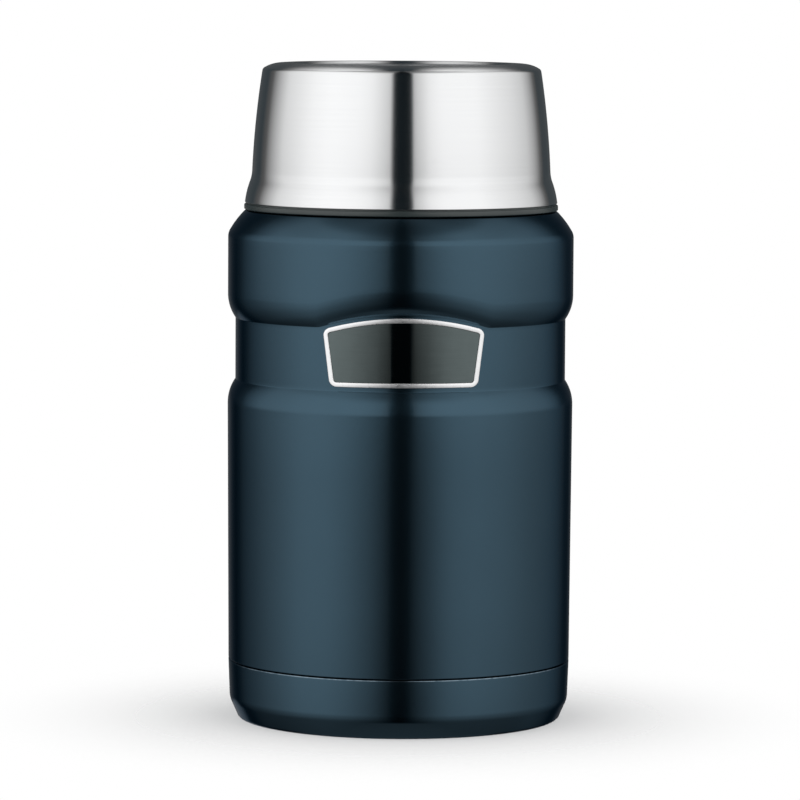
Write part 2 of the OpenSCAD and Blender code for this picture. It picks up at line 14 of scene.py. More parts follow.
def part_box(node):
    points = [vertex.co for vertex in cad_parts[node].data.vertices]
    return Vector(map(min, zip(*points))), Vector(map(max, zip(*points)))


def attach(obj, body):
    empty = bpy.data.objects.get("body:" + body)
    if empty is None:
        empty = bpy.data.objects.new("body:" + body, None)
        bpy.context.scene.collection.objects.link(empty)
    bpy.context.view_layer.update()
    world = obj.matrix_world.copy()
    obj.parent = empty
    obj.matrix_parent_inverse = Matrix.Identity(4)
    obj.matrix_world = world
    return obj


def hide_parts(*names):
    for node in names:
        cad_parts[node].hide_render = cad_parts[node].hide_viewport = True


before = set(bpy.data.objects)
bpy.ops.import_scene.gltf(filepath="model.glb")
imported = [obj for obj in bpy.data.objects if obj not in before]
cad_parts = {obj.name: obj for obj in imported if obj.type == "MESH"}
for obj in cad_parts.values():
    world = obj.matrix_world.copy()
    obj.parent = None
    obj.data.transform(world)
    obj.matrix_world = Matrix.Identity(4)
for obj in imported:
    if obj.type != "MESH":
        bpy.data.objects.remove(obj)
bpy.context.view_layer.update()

MM = 0.001

# ---- sizes, from the frame


def extent(node):
    """A node's outer radius, its lowest height and its highest."""
    low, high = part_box(node)
    return high.x / MM, low.z / MM, high.z / MM


BODY_R, SEAM_Z, NECK_TOP_Z = extent("outer_shell")
VESSEL_R, VESSEL_BASE_Z, _ = extent("liner_bottom")
_, VESSEL_WELD_Z, LIP_Z = extent("inner_liner")
DISC_R, DISC_LOW_Z, DISC_TOP_Z = extent("base_disc")
FLANGE_R, PLUG_Z, FLANGE_TOP_Z = extent("stopper_core")
CAP_R, _, _ = extent("stopper_cap")
BOWL_RIM_R, BOWL_RIM_Z, TOP_Z = extent("bowl_shell")

# ---- sizes, as in the part's source but for two

OUTER_SHEET = 0.7
WALL_TAPER = 0.45
SEAM_GROOVE = 0.4
WAIST_DEPTH = 2.2
WAIST_H = 17.8
WAIST_ROUND = 12
ARCH_RISE = 3.9
ARCH_HALF_ANGLE = 30
BAND_H = 23.4
SHOULDER_EDGE_R = 4
SHOULDER_EDGE_SLOPE = 30
SHOULDER_R = 27
SHOULDER_SLOPE = 44
LEDGE_ROUND = 3
LEDGE_W = 2.9
NECK_H = 16.4
NECK_FILLET = 0.8
CUP_TAPER = 0.35
FOOT_BEND_Z = 7.2
FOOT_BEND_R = 6
FOOT_TAPER = 24
FOOT_EDGE_R = 1.5
FOOT_RING_W = 4
FOOT_RECESS = 3
SEAL_CHAMBER_H = 2
SEAL_CHAMBER_STEP = 7.6
NECK_GAP = 0.5
VESSEL_SHEET = 0.6
VESSEL_CORNER_R = 8.4
VESSEL_SHOULDER_DROP = 2.8
VESSEL_SHOULDER_R = 5
VESSEL_TURN = 60
LIP_OVERHANG = 0.3
BADGE_SIDE_GAP = 1
BADGE_SIDE_LEAN = 2
BADGE_TOP_GAP = 0.8
BADGE_CROWN = 3.5
BADGE_LIFT = 1.2
BADGE_CORNER_R = 2.3
BADGE_BORDER = 1.4  # the part has 1.2
BADGE_FRAME_T = 1
BADGE_PANEL_T = 0.7
PLUG_GAP = 1
PLUG_ROUND = 2
STOPPER_WALL = 1.8
CAP_RIM_H = 6
CAP_RIM_W = 2.4
GRIP_W = 12
GRIP_RISE = 1.6
SCALLOP_COUNT = 30
SCALLOP_R = 2
SCALLOP_DEPTH = 0.6
GASKET_H = 1.6
GASKET_SLEEVE_H = 3
GASKET_SIDE_GAP = 0.3
BOWL_SHEET = 0.6
RIM_SLOPE = 6
FLARE_SLOPE = 20.5
FLARE_R = 25
FLARE_HOLLOW_R = 10
WALL_SLOPE = 2.5
WALL_BOW_R = 266
TOP_ROUND = 1.3  # the part has 2.5
TOP_SLOPE = 32
TOP_CROWN_R = 9
TOP_RING_W = 3
TOP_RECESS = 0.8
BOWL_NECK_GAP = 1.3
BOWL_DRAFT = 5.5
BOWL_CORNER_R = 10
BOWL_FOOT_GAP = 2.4
STRIP_STEP = 0.2
THREAD_RING_H = 9.3
THREAD_GAP = 1.4
BOWL_GASKET_W = 2
BOWL_GASKET_H = 1.4
SEAL_GAP = 0.1
RIM_GAP = 0.3
WELD_GAP = 0.1


def cos(angle):
    return math.cos(math.radians(angle))


def sin(angle):
    return math.sin(math.radians(angle))


def tan(angle):
    return math.tan(math.radians(angle))


def along(angle):
    """Direction in a profile's plane, in degrees above level."""
    return Vector((cos(angle), sin(angle)))


SEAM_R = BODY_R - WALL_TAPER
CUP_R = SEAM_R - CUP_TAPER
WAIST_R = BODY_R - WAIST_DEPTH
LEDGE_Z = NECK_TOP_Z - NECK_H
SHOULDER_Z = LEDGE_Z - (
    LEDGE_ROUND
    + (SHOULDER_R - LEDGE_ROUND) * sin(SHOULDER_SLOPE)
    - (SHOULDER_R - SHOULDER_EDGE_R) * sin(SHOULDER_EDGE_SLOPE)
)
WAIST_TOP_Z = SHOULDER_Z - BAND_H
WAIST_Z = WAIST_TOP_Z - WAIST_H
WAIST_ARC_X = BODY_R - WAIST_ROUND
WAIST_ARC_H = math.sqrt(WAIST_ROUND**2 - (WAIST_R - WAIST_ARC_X) ** 2)
SHOULDER_EDGE_C = Vector((BODY_R - SHOULDER_EDGE_R, SHOULDER_Z))
SHOULDER_C = SHOULDER_EDGE_C - (SHOULDER_R - SHOULDER_EDGE_R) * along(SHOULDER_EDGE_SLOPE)
LEDGE_C = SHOULDER_C + (SHOULDER_R - LEDGE_ROUND) * along(SHOULDER_SLOPE)
NECK_R = LEDGE_C.x - LEDGE_W - NECK_FILLET
MOUTH_R = NECK_R - OUTER_SHEET - NECK_GAP - VESSEL_SHEET
PLUG_R = MOUTH_R - PLUG_GAP
STRIP_R = BOWL_RIM_R + STRIP_STEP
RING_BORE_R = NECK_R + THREAD_GAP
RING_TOP_Z = BOWL_RIM_Z + THREAD_RING_H

# ---- sizes of what the part's source leaves out

LIP_BEND = 0.25  # rounding of the two sheets' edges at the seam
CREASE_FILLET = 0.35  # fillet along both creases of the waist, filled by the paint
STRIP_GROOVE = 0.3  # shadow line between the steel's edge and the strip
UPPER_EASE = ((0.2, 0), (0, -0.06))  # points that soften the upper corner of the step in the lid's top
LOWER_EASE = ((0.1, 0.08), (-0.15, 0))  # and its lower corner
LID_PITCH = 4.6
LID_THREAD_RISE = 0.85
LID_THREAD_Z = LEDGE_Z + 4.4
LID_THREAD_ANGLE = 140
STOPPER_PITCH = 4.2
MOUTH_THREAD_Z = LIP_Z - 12.6
PLUG_THREAD_Z = LIP_Z - 12.4

# ---- mesh helpers

ROUND_SEGMENTS = 360
ARC_STEP = 2.5
SOFT = 50  # angle up to which coarsely rounded edges are shaded smooth


def parted_arc(centre, r, start, end, count):
    """The ends of count equal stretches of an arc."""
    return [Vector(centre) + r * along(start + (end - start) * i / count) for i in range(count + 1)]


def arc(centre, r, start, end, step=ARC_STEP):
    """Points along an arc, a point about every step degrees."""
    return parted_arc(centre, r, start, end, max(2, math.ceil(abs(end - start) / step)))


def parted_line(start, end, count):
    """Points between count equal stretches of a straight line, without its ends."""
    return [start.lerp(end, i / count) for i in range(1, count)]


def line(start, end, step):
    """Points along a straight line without its ends, at most step apart."""
    start = Vector(start)
    end = Vector(end)
    return parted_line(start, end, max(1, math.ceil((end - start).length / step)))


def to_axis(r, z, step):
    """Points on a level line from radius r in to the axis, without the first."""
    return line((r, z), (0, z), step) + [Vector((0, z))]


def rim(r, low_z, top_z, edge):
    """The outer wall of a disc, its two edges rounded."""
    low = arc((r - edge, low_z + edge), edge, -90, 0, step=15)
    return low + arc((r - edge, top_z - edge), edge, 0, 90, step=15)


def rounded(points, r):
    """A closed outline whose corners are eased by about radius r, or by half the shorter side there."""
    step = 15
    made = []
    for i, corner in enumerate(points):
        corner = Vector(corner)
        before = Vector(points[i - 1]) - corner
        after = Vector(points[(i + 1) % len(points)]) - corner
        half = before.angle(after) / 2
        reach = min(r / math.tan(half), before.length / 2, after.length / 2)
        start = corner + before.normalized() * reach
        end = corner + after.normalized() * reach
        count = max(2, round((180 - math.degrees(2 * half)) / step))
        for k in range(count + 1):
            t = k / count
            made.append(start.lerp(corner, t).lerp(corner.lerp(end, t), t))
    return made


def new_object(name, made, material):
    """An object from a bmesh, which is used up."""
    mesh = bpy.data.meshes.new(name)
    made.to_mesh(mesh)
    made.free()
    mesh.materials.append(material)
    added = bpy.data.objects.new(name, mesh)
    bpy.context.scene.collection.objects.link(added)
    return added


def finish_mesh(name, made, body, material, sharp_angle=35):
    """Turns a bmesh into a piece that rides on a body, with smooth shading broken at its sharp edges."""
    bmesh.ops.recalc_face_normals(made, faces=made.faces)
    piece = new_object(name, made, material)
    piece.data.shade_smooth()
    piece.data.set_sharp_from_angle(angle=math.radians(sharp_angle))
    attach(piece, body)
    return piece


def around(r, z, angle):
    """The place in metres of a profile's point at an angle round the jar."""
    return r * sin(angle) * MM, -r * cos(angle) * MM, z * MM


def join_rings(made, rings, closed):
    """Faces from each ring of points to the next. A closed row joins up again, an open one gets two ends."""
    followers = rings[1:] + (rings[:1] if closed else [])
    for here, there in zip(rings, followers):
        for k in range(len(here)):
            n = (k + 1) % len(here)
            face = list(dict.fromkeys([here[k], here[n], there[n], there[k]]))
            if len(face) > 2:
                made.faces.new(face)
    if not closed:
        made.faces.new(rings[0])
        made.faces.new(rings[-1])


def spun(outline, shape=None, segments=ROUND_SEGMENTS):
    """A bmesh turned about Z from a closed profile, merged on the axis. shape may move each point."""
    made = bmesh.new()
    centres = {}
    columns = []
    for i in range(segments):
        angle = 360 * i / segments
        column = []
        for k, (r, z) in enumerate(outline):
            if shape:
                r, z = shape(r, z, angle)
            if r > 1e-6:
                column.append(made.verts.new(around(r, z, angle)))
                continue
            if k not in centres:
                centres[k] = made.verts.new((0, 0, z * MM))
            column.append(centres[k])
        columns.append(column)
    join_rings(made, columns, closed=True)
    return made


def thread(r, rise, width, z_start, pitch, turns, start_angle, sink=0.2):
    """A bmesh of one helical ridge round a wall of radius r. A negative rise stands inwards, as in a bore."""
    run_out = 40
    end_width = 0.35
    half = [(0.5, -sink), (0.42, 0), (0.24, 0.72), (0.1, 1)]
    section = [(-across, out) for across, out in half] + half[::-1]
    segments = round(ROUND_SEGMENTS * turns)
    made = bmesh.new()
    rings = []
    for i in range(segments + 1):
        turned = 360 * turns * i / segments
        size = sin(90 * min(1, turned / run_out, (360 * turns - turned) / run_out))
        ring = []
        for across, out in section:
            ring_r = r + (rise * out * size if out > 0 else math.copysign(1, rise) * out)
            z = z_start + pitch * turned / 360 + across * width * (end_width + (1 - end_width) * size)
            ring.append(made.verts.new(around(ring_r, z, start_angle + turned)))
        rings.append(ring)
    join_rings(made, rings, closed=False)
    return made


# ---- materials


class Nodes:
    """A material's node tree with short names for the steps the materials share."""

    def __init__(self, name):
        self.material = bpy.data.materials.new(name)
        self.material.use_nodes = True
        self.tree = self.material.node_tree
        self.shader = self.tree.nodes["Principled BSDF"]

    def add(self, kind, **settings):
        node = self.tree.nodes.new("ShaderNode" + kind)
        for key, value in settings.items():
            setattr(node, key, value)
        return node

    def feed(self, socket, value):
        """Links an output into a socket, or sets a number, a vector or a colour there."""
        if isinstance(value, bpy.types.NodeSocket):
            self.tree.links.new(value, socket)
        elif socket.type == "RGBA":
            socket.default_value = (*value, 1)
        else:
            socket.default_value = value

    def put(self, node, **values):
        """Feeds inputs by name; an underscore stands for a space."""
        for key, value in values.items():
            self.feed(node.inputs[key.replace("_", " ")], value)

    def finish(self, **values):
        """Feeds the surface's shader, and returns the material."""
        self.put(self.shader, **values)
        return self.material

    def math(self, operation, a, b=0):
        node = self.add("Math", operation=operation)
        self.feed(node.inputs[0], a)
        self.feed(node.inputs[1], b)
        return node.outputs[0]

    def times(self, product, *factors):
        for factor in factors:
            product = self.math("MULTIPLY", product, factor)
        return product

    def blend(self, a, share, b):
        """That share of a, and the rest of b."""
        return self.math("ADD", self.times(a, share), self.times(b, 1 - share))

    def ranged(self, value, low, high, to_low=0, to_high=1):
        node = self.add("MapRange", clamp=True)
        self.put(node, Value=value, From_Min=low, From_Max=high, To_Min=to_low, To_Max=to_high)
        return node.outputs["Result"]

    def ramp(self, value, stops):
        """A grey ramp through (value, level) stops, 32 at most."""
        low = stops[0][0]
        high = stops[-1][0]
        node = self.add("ValToRGB")
        self.feed(node.inputs[0], self.ranged(value, low, high))
        elements = node.color_ramp.elements
        for i, (position, level) in enumerate(stops):
            where = (position - low) / (high - low)
            element = elements[i] if i < 2 else elements.new(where)
            element.position = where
            element.color = (level, level, level, 1)
        return node.outputs[0]

    def mixed(self, factor, a, b):
        """A colour between a and b."""
        node = self.add("Mix", data_type="RGBA")
        for index, value in ((0, factor), (6, a), (7, b)):
            self.feed(node.inputs[index], value)
        return node.outputs[2]

    def toned(self, value, low, high, a, b):
        """Colour a where the value is low, and b where it is high."""
        return self.mixed(self.ranged(value, low, high), a, b)

    def place(self, scale=1):
        """The point's place in metres, times scale, which is a number or one for each axis."""
        mapping = self.add("Mapping")
        scales = scale if isinstance(scale, tuple) else (scale,) * 3
        self.put(mapping, Vector=self.add("TexCoord").outputs["Object"], Scale=scales)
        return mapping.outputs["Vector"]

    def axes(self, scale=1):
        """The three coordinates of the point's place, times scale."""
        parts = self.add("SeparateXYZ")
        self.put(parts, Vector=self.place(scale))
        return parts.outputs

    def spun_place(self, round_scale, across_scale):
        """Coordinates that are stretched round the Z axis, on walls and on discs alike."""
        x, y, z = self.axes()
        r = self.math("SQRT", self.math("ADD", self.times(x, x), self.times(y, y)))
        across = self.times(self.math("SUBTRACT", z, r), across_scale)
        joined = self.add("CombineXYZ")
        self.put(joined, X=self.times(x, round_scale), Y=self.times(y, round_scale), Z=across)
        return joined.outputs[0]

    def noise(self, where, detail=3, roughness=0.5):
        """Noise over coordinates, or over the point's place times a scale."""
        vector = where if isinstance(where, bpy.types.NodeSocket) else self.place(where)
        node = self.add("TexNoise")
        self.put(node, Vector=vector, Scale=1, Detail=detail, Roughness=roughness)
        return node.outputs["Fac"]

    def bump(self, height, depth, normal=None):
        """Bump from a 0 to 1 height, depth metres deep."""
        node = self.add("Bump")
        self.put(node, Strength=1, Distance=depth, Height=height)
        if normal:
            self.put(node, Normal=normal)
        return node.outputs["Normal"]

    def scuffed(self, rough, scale, amount):
        """Roughness, with up to amount added in patches of fine scratches and handling marks."""
        marks = self.ranged(self.noise((scale, scale, scale * 9), detail=6, roughness=0.65), 0.6, 0.76)
        patches = self.ranged(self.noise(scale * 0.3, detail=2), 0.45, 0.7)
        return self.math("ADD", rough, self.times(marks, patches, amount))


def paint_material():
    """Midnight blue metallic paint under a clear coat, bare on the neck and thin at the seam's edges."""
    n = Nodes("midnight_blue_paint")
    blue = (0.037, 0.075, 0.104)
    deep_blue = (0.034, 0.069, 0.096)
    thin_blue = (0.42, 0.52, 0.60)
    steel = (0.60, 0.60, 0.59)
    seam_middle_z = SEAM_Z - 0.3
    height = n.axes(1 / MM)[2]
    flakes = n.noise(9000, detail=1)
    peel = n.noise(420, detail=2)
    painted = n.toned(n.blend(flakes, 0.6, n.noise(45, detail=2)), 0.35, 0.65, deep_blue, blue)
    from_seam = n.math("ABSOLUTE", n.math("SUBTRACT", height, seam_middle_z))
    worn_patches = n.ranged(n.noise(500, detail=4), 0.4, 0.6, 0.35, 1)
    seam_wear = n.times(n.ranged(from_seam, 0.1, 0.25, 0.4, 0), worn_patches)
    neck = n.ranged(height, LEDGE_Z + 0.05, LEDGE_Z + 0.35)
    return n.finish(
        Base_Color=n.mixed(neck, n.mixed(seam_wear, painted, thin_blue), steel),
        Metallic=1,
        Roughness=n.scuffed(n.ranged(flakes, 0.3, 0.7, 0.17, 0.20), 260, 0.10),
        Specular_Tint=(0.42, 0.52, 0.64),
        Coat_Weight=0.2,
        Coat_Roughness=0.03,
        Coat_IOR=1.5,
        Normal=n.bump(flakes, 0.0000015, n.bump(peel, 0.000006)),
        Coat_Normal=n.bump(peel, 0.000004),
    )


def brushed_steel_material():
    """Satin stainless steel, brushed round the lid's axis."""
    n = Nodes("brushed_steel")
    dull = (0.67, 0.675, 0.68)
    pale = (0.71, 0.715, 0.72)
    fine = n.noise(n.spun_place(26, 9000), detail=4, roughness=0.6)
    streaks = n.blend(fine, 0.6, n.noise(n.spun_place(9, 1300)))
    tangent = n.add("Tangent", direction_type="RADIAL", axis="Z")
    return n.finish(
        Base_Color=n.toned(streaks, 0.3, 0.7, dull, pale),
        Metallic=1,
        Roughness=n.scuffed(n.ranged(streaks, 0.3, 0.7, 0.16, 0.20), 200, 0.08),
        Anisotropic=1,
        Anisotropic_Rotation=0.25,
        Tangent=tangent.outputs[0],
        Normal=n.bump(streaks, 0.0000022),
    )


def bare_steel_material(name, round_scale, across_scale):
    """Drawn stainless steel with faint spinning lines and a soft, cloudy polish."""
    n = Nodes(name)
    dull = (0.64, 0.64, 0.63)
    pale = (0.73, 0.73, 0.72)
    lines = n.noise(n.spun_place(round_scale, across_scale))
    tone = n.blend(lines, 0.45, n.noise(90))
    return n.finish(
        Base_Color=n.toned(tone, 0.35, 0.65, dull, pale),
        Metallic=1,
        Roughness=n.scuffed(n.ranged(tone, 0.35, 0.65, 0.16, 0.27), 240, 0.1),
        Normal=n.bump(lines, 0.000002),
    )


def badge_panel_material():
    """Dark metal plate of the badge, finely brushed from side to side."""
    n = Nodes("badge_dark")
    dark = (0.088, 0.108, 0.108)
    paler = (0.1, 0.122, 0.122)
    lines = n.noise((160, 160, 9000))
    return n.finish(
        Base_Color=n.toned(n.blend(lines, 0.7, n.noise(300)), 0.35, 0.65, dark, paler),
        Metallic=1,
        Roughness=n.scuffed(n.ranged(lines, 0.35, 0.65, 0.04, 0.08), 300, 0.08),
        Normal=n.bump(lines, 0.000001),
    )


def badge_border_material():
    """Satin bright metal of the badge's border."""
    n = Nodes("badge_bright")
    dull = (0.76, 0.765, 0.77)
    bright = (0.84, 0.84, 0.845)
    clouds = n.noise(800)
    return n.finish(
        Base_Color=n.toned(clouds, 0.3, 0.7, dull, bright),
        Metallic=1,
        Roughness=n.scuffed(n.ranged(clouds, 0.3, 0.7, 0.26, 0.34), 500, 0.08),
        Normal=n.bump(clouds, 0.0000015),
    )


def plastic_material(name, colour, rough, grain_depth):
    """Moulded plastic with a fine spark-eroded grain, paler and smoother along its edges."""
    n = Nodes(name)
    darker = tuple(c * 0.86 for c in colour)
    paler = tuple(c * 1.35 + 0.01 for c in colour)
    grain = n.noise(3200, roughness=0.6)
    edge = n.ranged(n.add("NewGeometry").outputs["Pointiness"], 0.52, 0.6)
    body = n.toned(n.noise(60, detail=2), 0.35, 0.65, darker, colour)
    grained = n.ranged(grain, 0.3, 0.7, rough - 0.05, rough + 0.06)
    return n.finish(
        Base_Color=n.mixed(n.times(edge, 0.5), body, paler),
        Roughness=n.scuffed(n.math("SUBTRACT", grained, n.times(edge, 0.08)), 220, 0.12),
        Normal=n.bump(grain, grain_depth),
    )


def silicone_material(name, colour, dust):
    """Soft rubber: matt, a little translucent, with a dusty bloom."""
    n = Nodes(name)
    dust_colour = (0.55, 0.55, 0.53)
    bloom = n.noise(170, detail=4, roughness=0.65)
    return n.finish(
        Base_Color=n.mixed(n.ranged(bloom, 0.4, 0.75, 0, dust), colour, dust_colour),
        Roughness=n.ranged(bloom, 0.3, 0.7, 0.42, 0.58),
        Subsurface_Weight=0.15,
        Subsurface_Scale=0.001,
        Specular_IOR_Level=0.4,
        Normal=n.bump(n.noise(2600, detail=2), 0.000006),
    )


def foil_material():
    """Crinkled radiation foil."""
    n = Nodes("radiation_foil")
    creases = n.noise(330, detail=6, roughness=0.7)
    return n.finish(
        Base_Color=n.toned(creases, 0.3, 0.7, (0.66, 0.65, 0.62), (0.82, 0.81, 0.79)),
        Metallic=1,
        Roughness=n.ranged(creases, 0.3, 0.7, 0.15, 0.35),
        Normal=n.bump(creases, 0.00008),
    )


def pressed_powder_material():
    """The getter's sintered tablet."""
    n = Nodes("getter_tablet")
    grains = n.noise(2400, detail=5, roughness=0.7)
    return n.finish(
        Base_Color=n.toned(grains, 0.35, 0.65, (0.07, 0.068, 0.066), (0.16, 0.155, 0.15)),
        Metallic=0.4,
        Roughness=n.ranged(grains, 0.3, 0.7, 0.65, 0.9),
        Normal=n.bump(grains, 0.00005),
    )


def glass_bead_material():
    """The fused glass bead with its fine bubbles."""
    n = Nodes("glass_bead")
    bubbles = n.noise(1500)
    return n.finish(
        Base_Color=n.toned(bubbles, 0.45, 0.7, (0.62, 0.70, 0.68), (0.80, 0.86, 0.84)),
        Transmission_Weight=0.6,
        Roughness=n.ranged(bubbles, 0.3, 0.7, 0.04, 0.14),
        Normal=n.bump(bubbles, 0.00001),
    )


def foam_material():
    """The stopper's closed-cell foam."""
    n = Nodes("foam")
    cells = n.add("TexVoronoi", feature="DISTANCE_TO_EDGE")
    n.put(cells, Vector=n.place(1500), Scale=1)
    from_wall = cells.outputs["Distance"]
    wall = n.ranged(from_wall, 0, 0.25, 1, 0)
    return n.finish(
        Base_Color=n.mixed(wall, (0.74, 0.71, 0.60), (0.88, 0.86, 0.77)),
        Roughness=n.ranged(from_wall, 0, 0.3, 0.7, 0.92),
        Normal=n.bump(wall, 0.00015),
    )


PAINT = paint_material()
BRUSHED_STEEL = brushed_steel_material()
BARE_STEEL = bare_steel_material("bare_steel", round_scale=30, across_scale=2600)
SPUN_STEEL = bare_steel_material("spun_steel", round_scale=12, across_scale=3200)
BADGE_DARK = badge_panel_material()
BADGE_BRIGHT = badge_border_material()
STOPPER_PLASTIC = plastic_material("stopper_plastic", (0.030, 0.034, 0.038), rough=0.42, grain_depth=0.000012)
RING_PLASTIC = plastic_material("ring_plastic", (0.036, 0.048, 0.048), rough=0.22, grain_depth=0.000002)
SILICONE = silicone_material("silicone", (0.60, 0.61, 0.60), dust=0.25)
DARK_SILICONE = silicone_material("dark_silicone", (0.018, 0.019, 0.02), dust=0.12)

# ---- painted steel body


def arch_lift(angle):
    """How far the arch lifts the band's edge at an angle round the jar, easing in at its two ends."""
    ease = 0.05
    t = (cos(angle) - cos(ARCH_HALF_ANGLE)) / (1 - cos(ARCH_HALF_ANGLE))
    return ARCH_RISE * (t + math.sqrt(t * t + ease * ease)) / 2 if t > -1 else 0


def shell_shape(r, z, angle):
    """Lifts the band's lower edge over the badge. The straight stretches below and above take up the lift."""
    start_z = WAIST_Z + CREASE_FILLET
    below = (z - start_z) / (WAIST_TOP_Z - start_z)
    above = (SHOULDER_Z - z) / (SHOULDER_Z - WAIST_TOP_Z - WAIST_ARC_H)
    return r, z + arch_lift(angle) * max(0, min(1, below, above))


def waist_fillet(inset, crease_z, side):
    """The centre of the small fillet between the waist and a rounding, the angle at which they meet, and the
    rounding's centre. Side is 1 at the upper crease and -1 at the lower.
    """
    arc_r = WAIST_ROUND - inset
    fillet_x = WAIST_R - inset + CREASE_FILLET
    height = math.sqrt((arc_r + CREASE_FILLET) ** 2 - (fillet_x - WAIST_ARC_X) ** 2)
    crease_height = math.sqrt(arc_r**2 - (WAIST_R - inset - WAIST_ARC_X) ** 2)
    centre = Vector((fillet_x, crease_z + side * (crease_height - height)))
    arc_c = Vector((WAIST_ARC_X, crease_z + side * crease_height))
    meet = math.degrees(math.atan2(centre.y - arc_c.y, centre.x - arc_c.x))
    return centre, meet, arc_c


def shell_skin(inset, groove):
    """The shell's profile from the seam to the neck's top, moved inwards by inset."""
    low_c, low_meet, low_arc_c = waist_fillet(inset, WAIST_Z, -1)
    high_c, high_meet, high_arc_c = waist_fillet(inset, WAIST_TOP_Z, 1)
    arc_r = WAIST_ROUND - inset
    wall_r = SEAM_R - inset
    points = [(wall_r, SEAM_Z)]
    if groove:
        points = arc((wall_r - LIP_BEND, SEAM_Z + groove), LIP_BEND, -50, 0, step=10)
    points += line(points[-1], (BODY_R - inset, low_arc_c.y), 20)
    points += arc(low_arc_c, arc_r, 0, low_meet)
    points += arc(low_c, CREASE_FILLET, 180 + low_meet, 180, step=6)[1:]
    points += line(points[-1], (WAIST_R - inset, high_c.y), 1)
    points += arc(high_c, CREASE_FILLET, 180, 180 + high_meet, step=6)
    points += arc(high_arc_c, arc_r, high_meet, 0)[1:]
    points += line(points[-1], (BODY_R - inset, SHOULDER_Z), 2)
    points += arc(SHOULDER_EDGE_C, SHOULDER_EDGE_R - inset, 0, SHOULDER_EDGE_SLOPE)
    points += arc(SHOULDER_C, SHOULDER_R - inset, SHOULDER_EDGE_SLOPE, SHOULDER_SLOPE, step=1)[1:]
    points += arc(LEDGE_C, LEDGE_ROUND - inset, SHOULDER_SLOPE, 90)[1:]
    points += arc((NECK_R + NECK_FILLET, LEDGE_Z + NECK_FILLET), NECK_FILLET + inset, 270, 180, step=10)
    return points + [(NECK_R - inset, NECK_TOP_Z)]


def make_outer_shell():
    """The painted sheet of wall, waist, band and shoulder, which goes on as the bare neck."""
    outline = shell_skin(0, SEAM_GROOVE) + shell_skin(OUTER_SHEET, 0)[::-1]
    outline += [(SEAM_R - SEAM_GROOVE - LIP_BEND, SEAM_Z)]
    made = spun(outline, shell_shape)
    piece = finish_mesh("painted_shell", made, "jar", PAINT)
    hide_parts("outer_shell")


def foot_skin(inset):
    """The base cup's profile from its wall to the ring it stands on, moved inwards by inset."""
    bend_c = Vector((CUP_R - FOOT_BEND_R, FOOT_BEND_Z))
    bend_end = bend_c + FOOT_BEND_R * along(-FOOT_TAPER)
    edge_top_z = FOOT_EDGE_R * (1 - sin(FOOT_TAPER))
    edge_x = bend_end.x - (bend_end.y - edge_top_z) * tan(FOOT_TAPER) - FOOT_EDGE_R * cos(FOOT_TAPER)
    bend = arc(bend_c, FOOT_BEND_R - inset, 0, -FOOT_TAPER)
    return bend + arc((edge_x, FOOT_EDGE_R), FOOT_EDGE_R - inset, -FOOT_TAPER, -90, step=6)


def make_base_cup():
    """The base cup with its raised recess and, above the disc, the chamber round the evacuation hole."""
    outside = foot_skin(0)
    inside = foot_skin(OUTER_SHEET)
    recess_r = outside[-1].x - FOOT_RING_W
    chamber_r = recess_r - SEAL_CHAMBER_STEP
    chamber_z = FOOT_RECESS + SEAL_CHAMBER_H
    hole_r = 1
    bend = 0.5
    lip = arc((SEAM_R - LIP_BEND, SEAM_Z - SEAM_GROOVE), LIP_BEND, 60, 0, step=10)
    steps = [(recess_r, FOOT_RECESS), (chamber_r, FOOT_RECESS), (chamber_r, chamber_z)]
    under = arc((recess_r + bend, bend), bend, 270, 180, step=15) + steps + [(hole_r, chamber_z)]
    above = [(hole_r, chamber_z + OUTER_SHEET)]
    above += [(r + OUTER_SHEET, z + OUTER_SHEET) for r, z in reversed(steps)]
    above += [(recess_r + OUTER_SHEET, OUTER_SHEET)]
    top = [(SEAM_R - OUTER_SHEET, SEAM_Z), (SEAM_R - SEAM_GROOVE - LIP_BEND, SEAM_Z)]
    made = spun(lip + outside + under + above + inside[::-1] + top)
    piece = finish_mesh("painted_base_cup", made, "jar", PAINT)
    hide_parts("outer_bottom")


def make_base_disc():
    """The bare disc in the base's recess."""
    edge = 0.15
    outline = to_axis(DISC_R - edge, DISC_LOW_Z, 4)[::-1]
    outline += rim(DISC_R, DISC_LOW_Z, DISC_TOP_Z, edge) + [(0, DISC_TOP_Z)]
    piece = finish_mesh("spun_base_disc", spun(outline), "jar", SPUN_STEEL)
    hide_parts("base_disc")


def make_neck_thread():
    """The rolled thread outside the neck, for the bowl lid."""
    made = thread(
        NECK_R, LID_THREAD_RISE, width=2.6, z_start=LID_THREAD_Z, pitch=LID_PITCH, turns=1.9, sink=0.3,
        start_angle=LID_THREAD_ANGLE,
    )
    finish_mesh("neck_thread", made, "jar", BARE_STEEL)


make_outer_shell()
make_base_cup()
make_base_disc()
make_neck_thread()

# ---- badge

BADGE_Z = WAIST_Z + BADGE_LIFT
BADGE_TOP_Z = WAIST_TOP_Z + ARCH_RISE - BADGE_TOP_GAP
BADGE_SEAT_R = WAIST_R + WELD_GAP / 2
BADGE_TOP_X = WAIST_R * sin(ARCH_HALF_ANGLE) - BADGE_SIDE_GAP
BADGE_LOW_X = BADGE_TOP_X - BADGE_SIDE_LEAN
BADGE_CORNER_TRIM = 3  # degrees of the crown that each upper corner takes up


def rounded_corner(before, corner, after, r):
    """One rounded corner of a convex outline, between its neighbours before and after."""
    to_before = (before - corner).normalized()
    to_after = (after - corner).normalized()
    half = math.degrees(to_before.angle(to_after)) / 2
    bisector = (to_before + to_after).normalized()
    centre = corner + bisector * r / sin(half)
    middle = math.degrees(math.atan2(-bisector.y, -bisector.x))
    turn = 90 - half
    return parted_arc(centre, r, middle - turn, middle + turn, count=12)


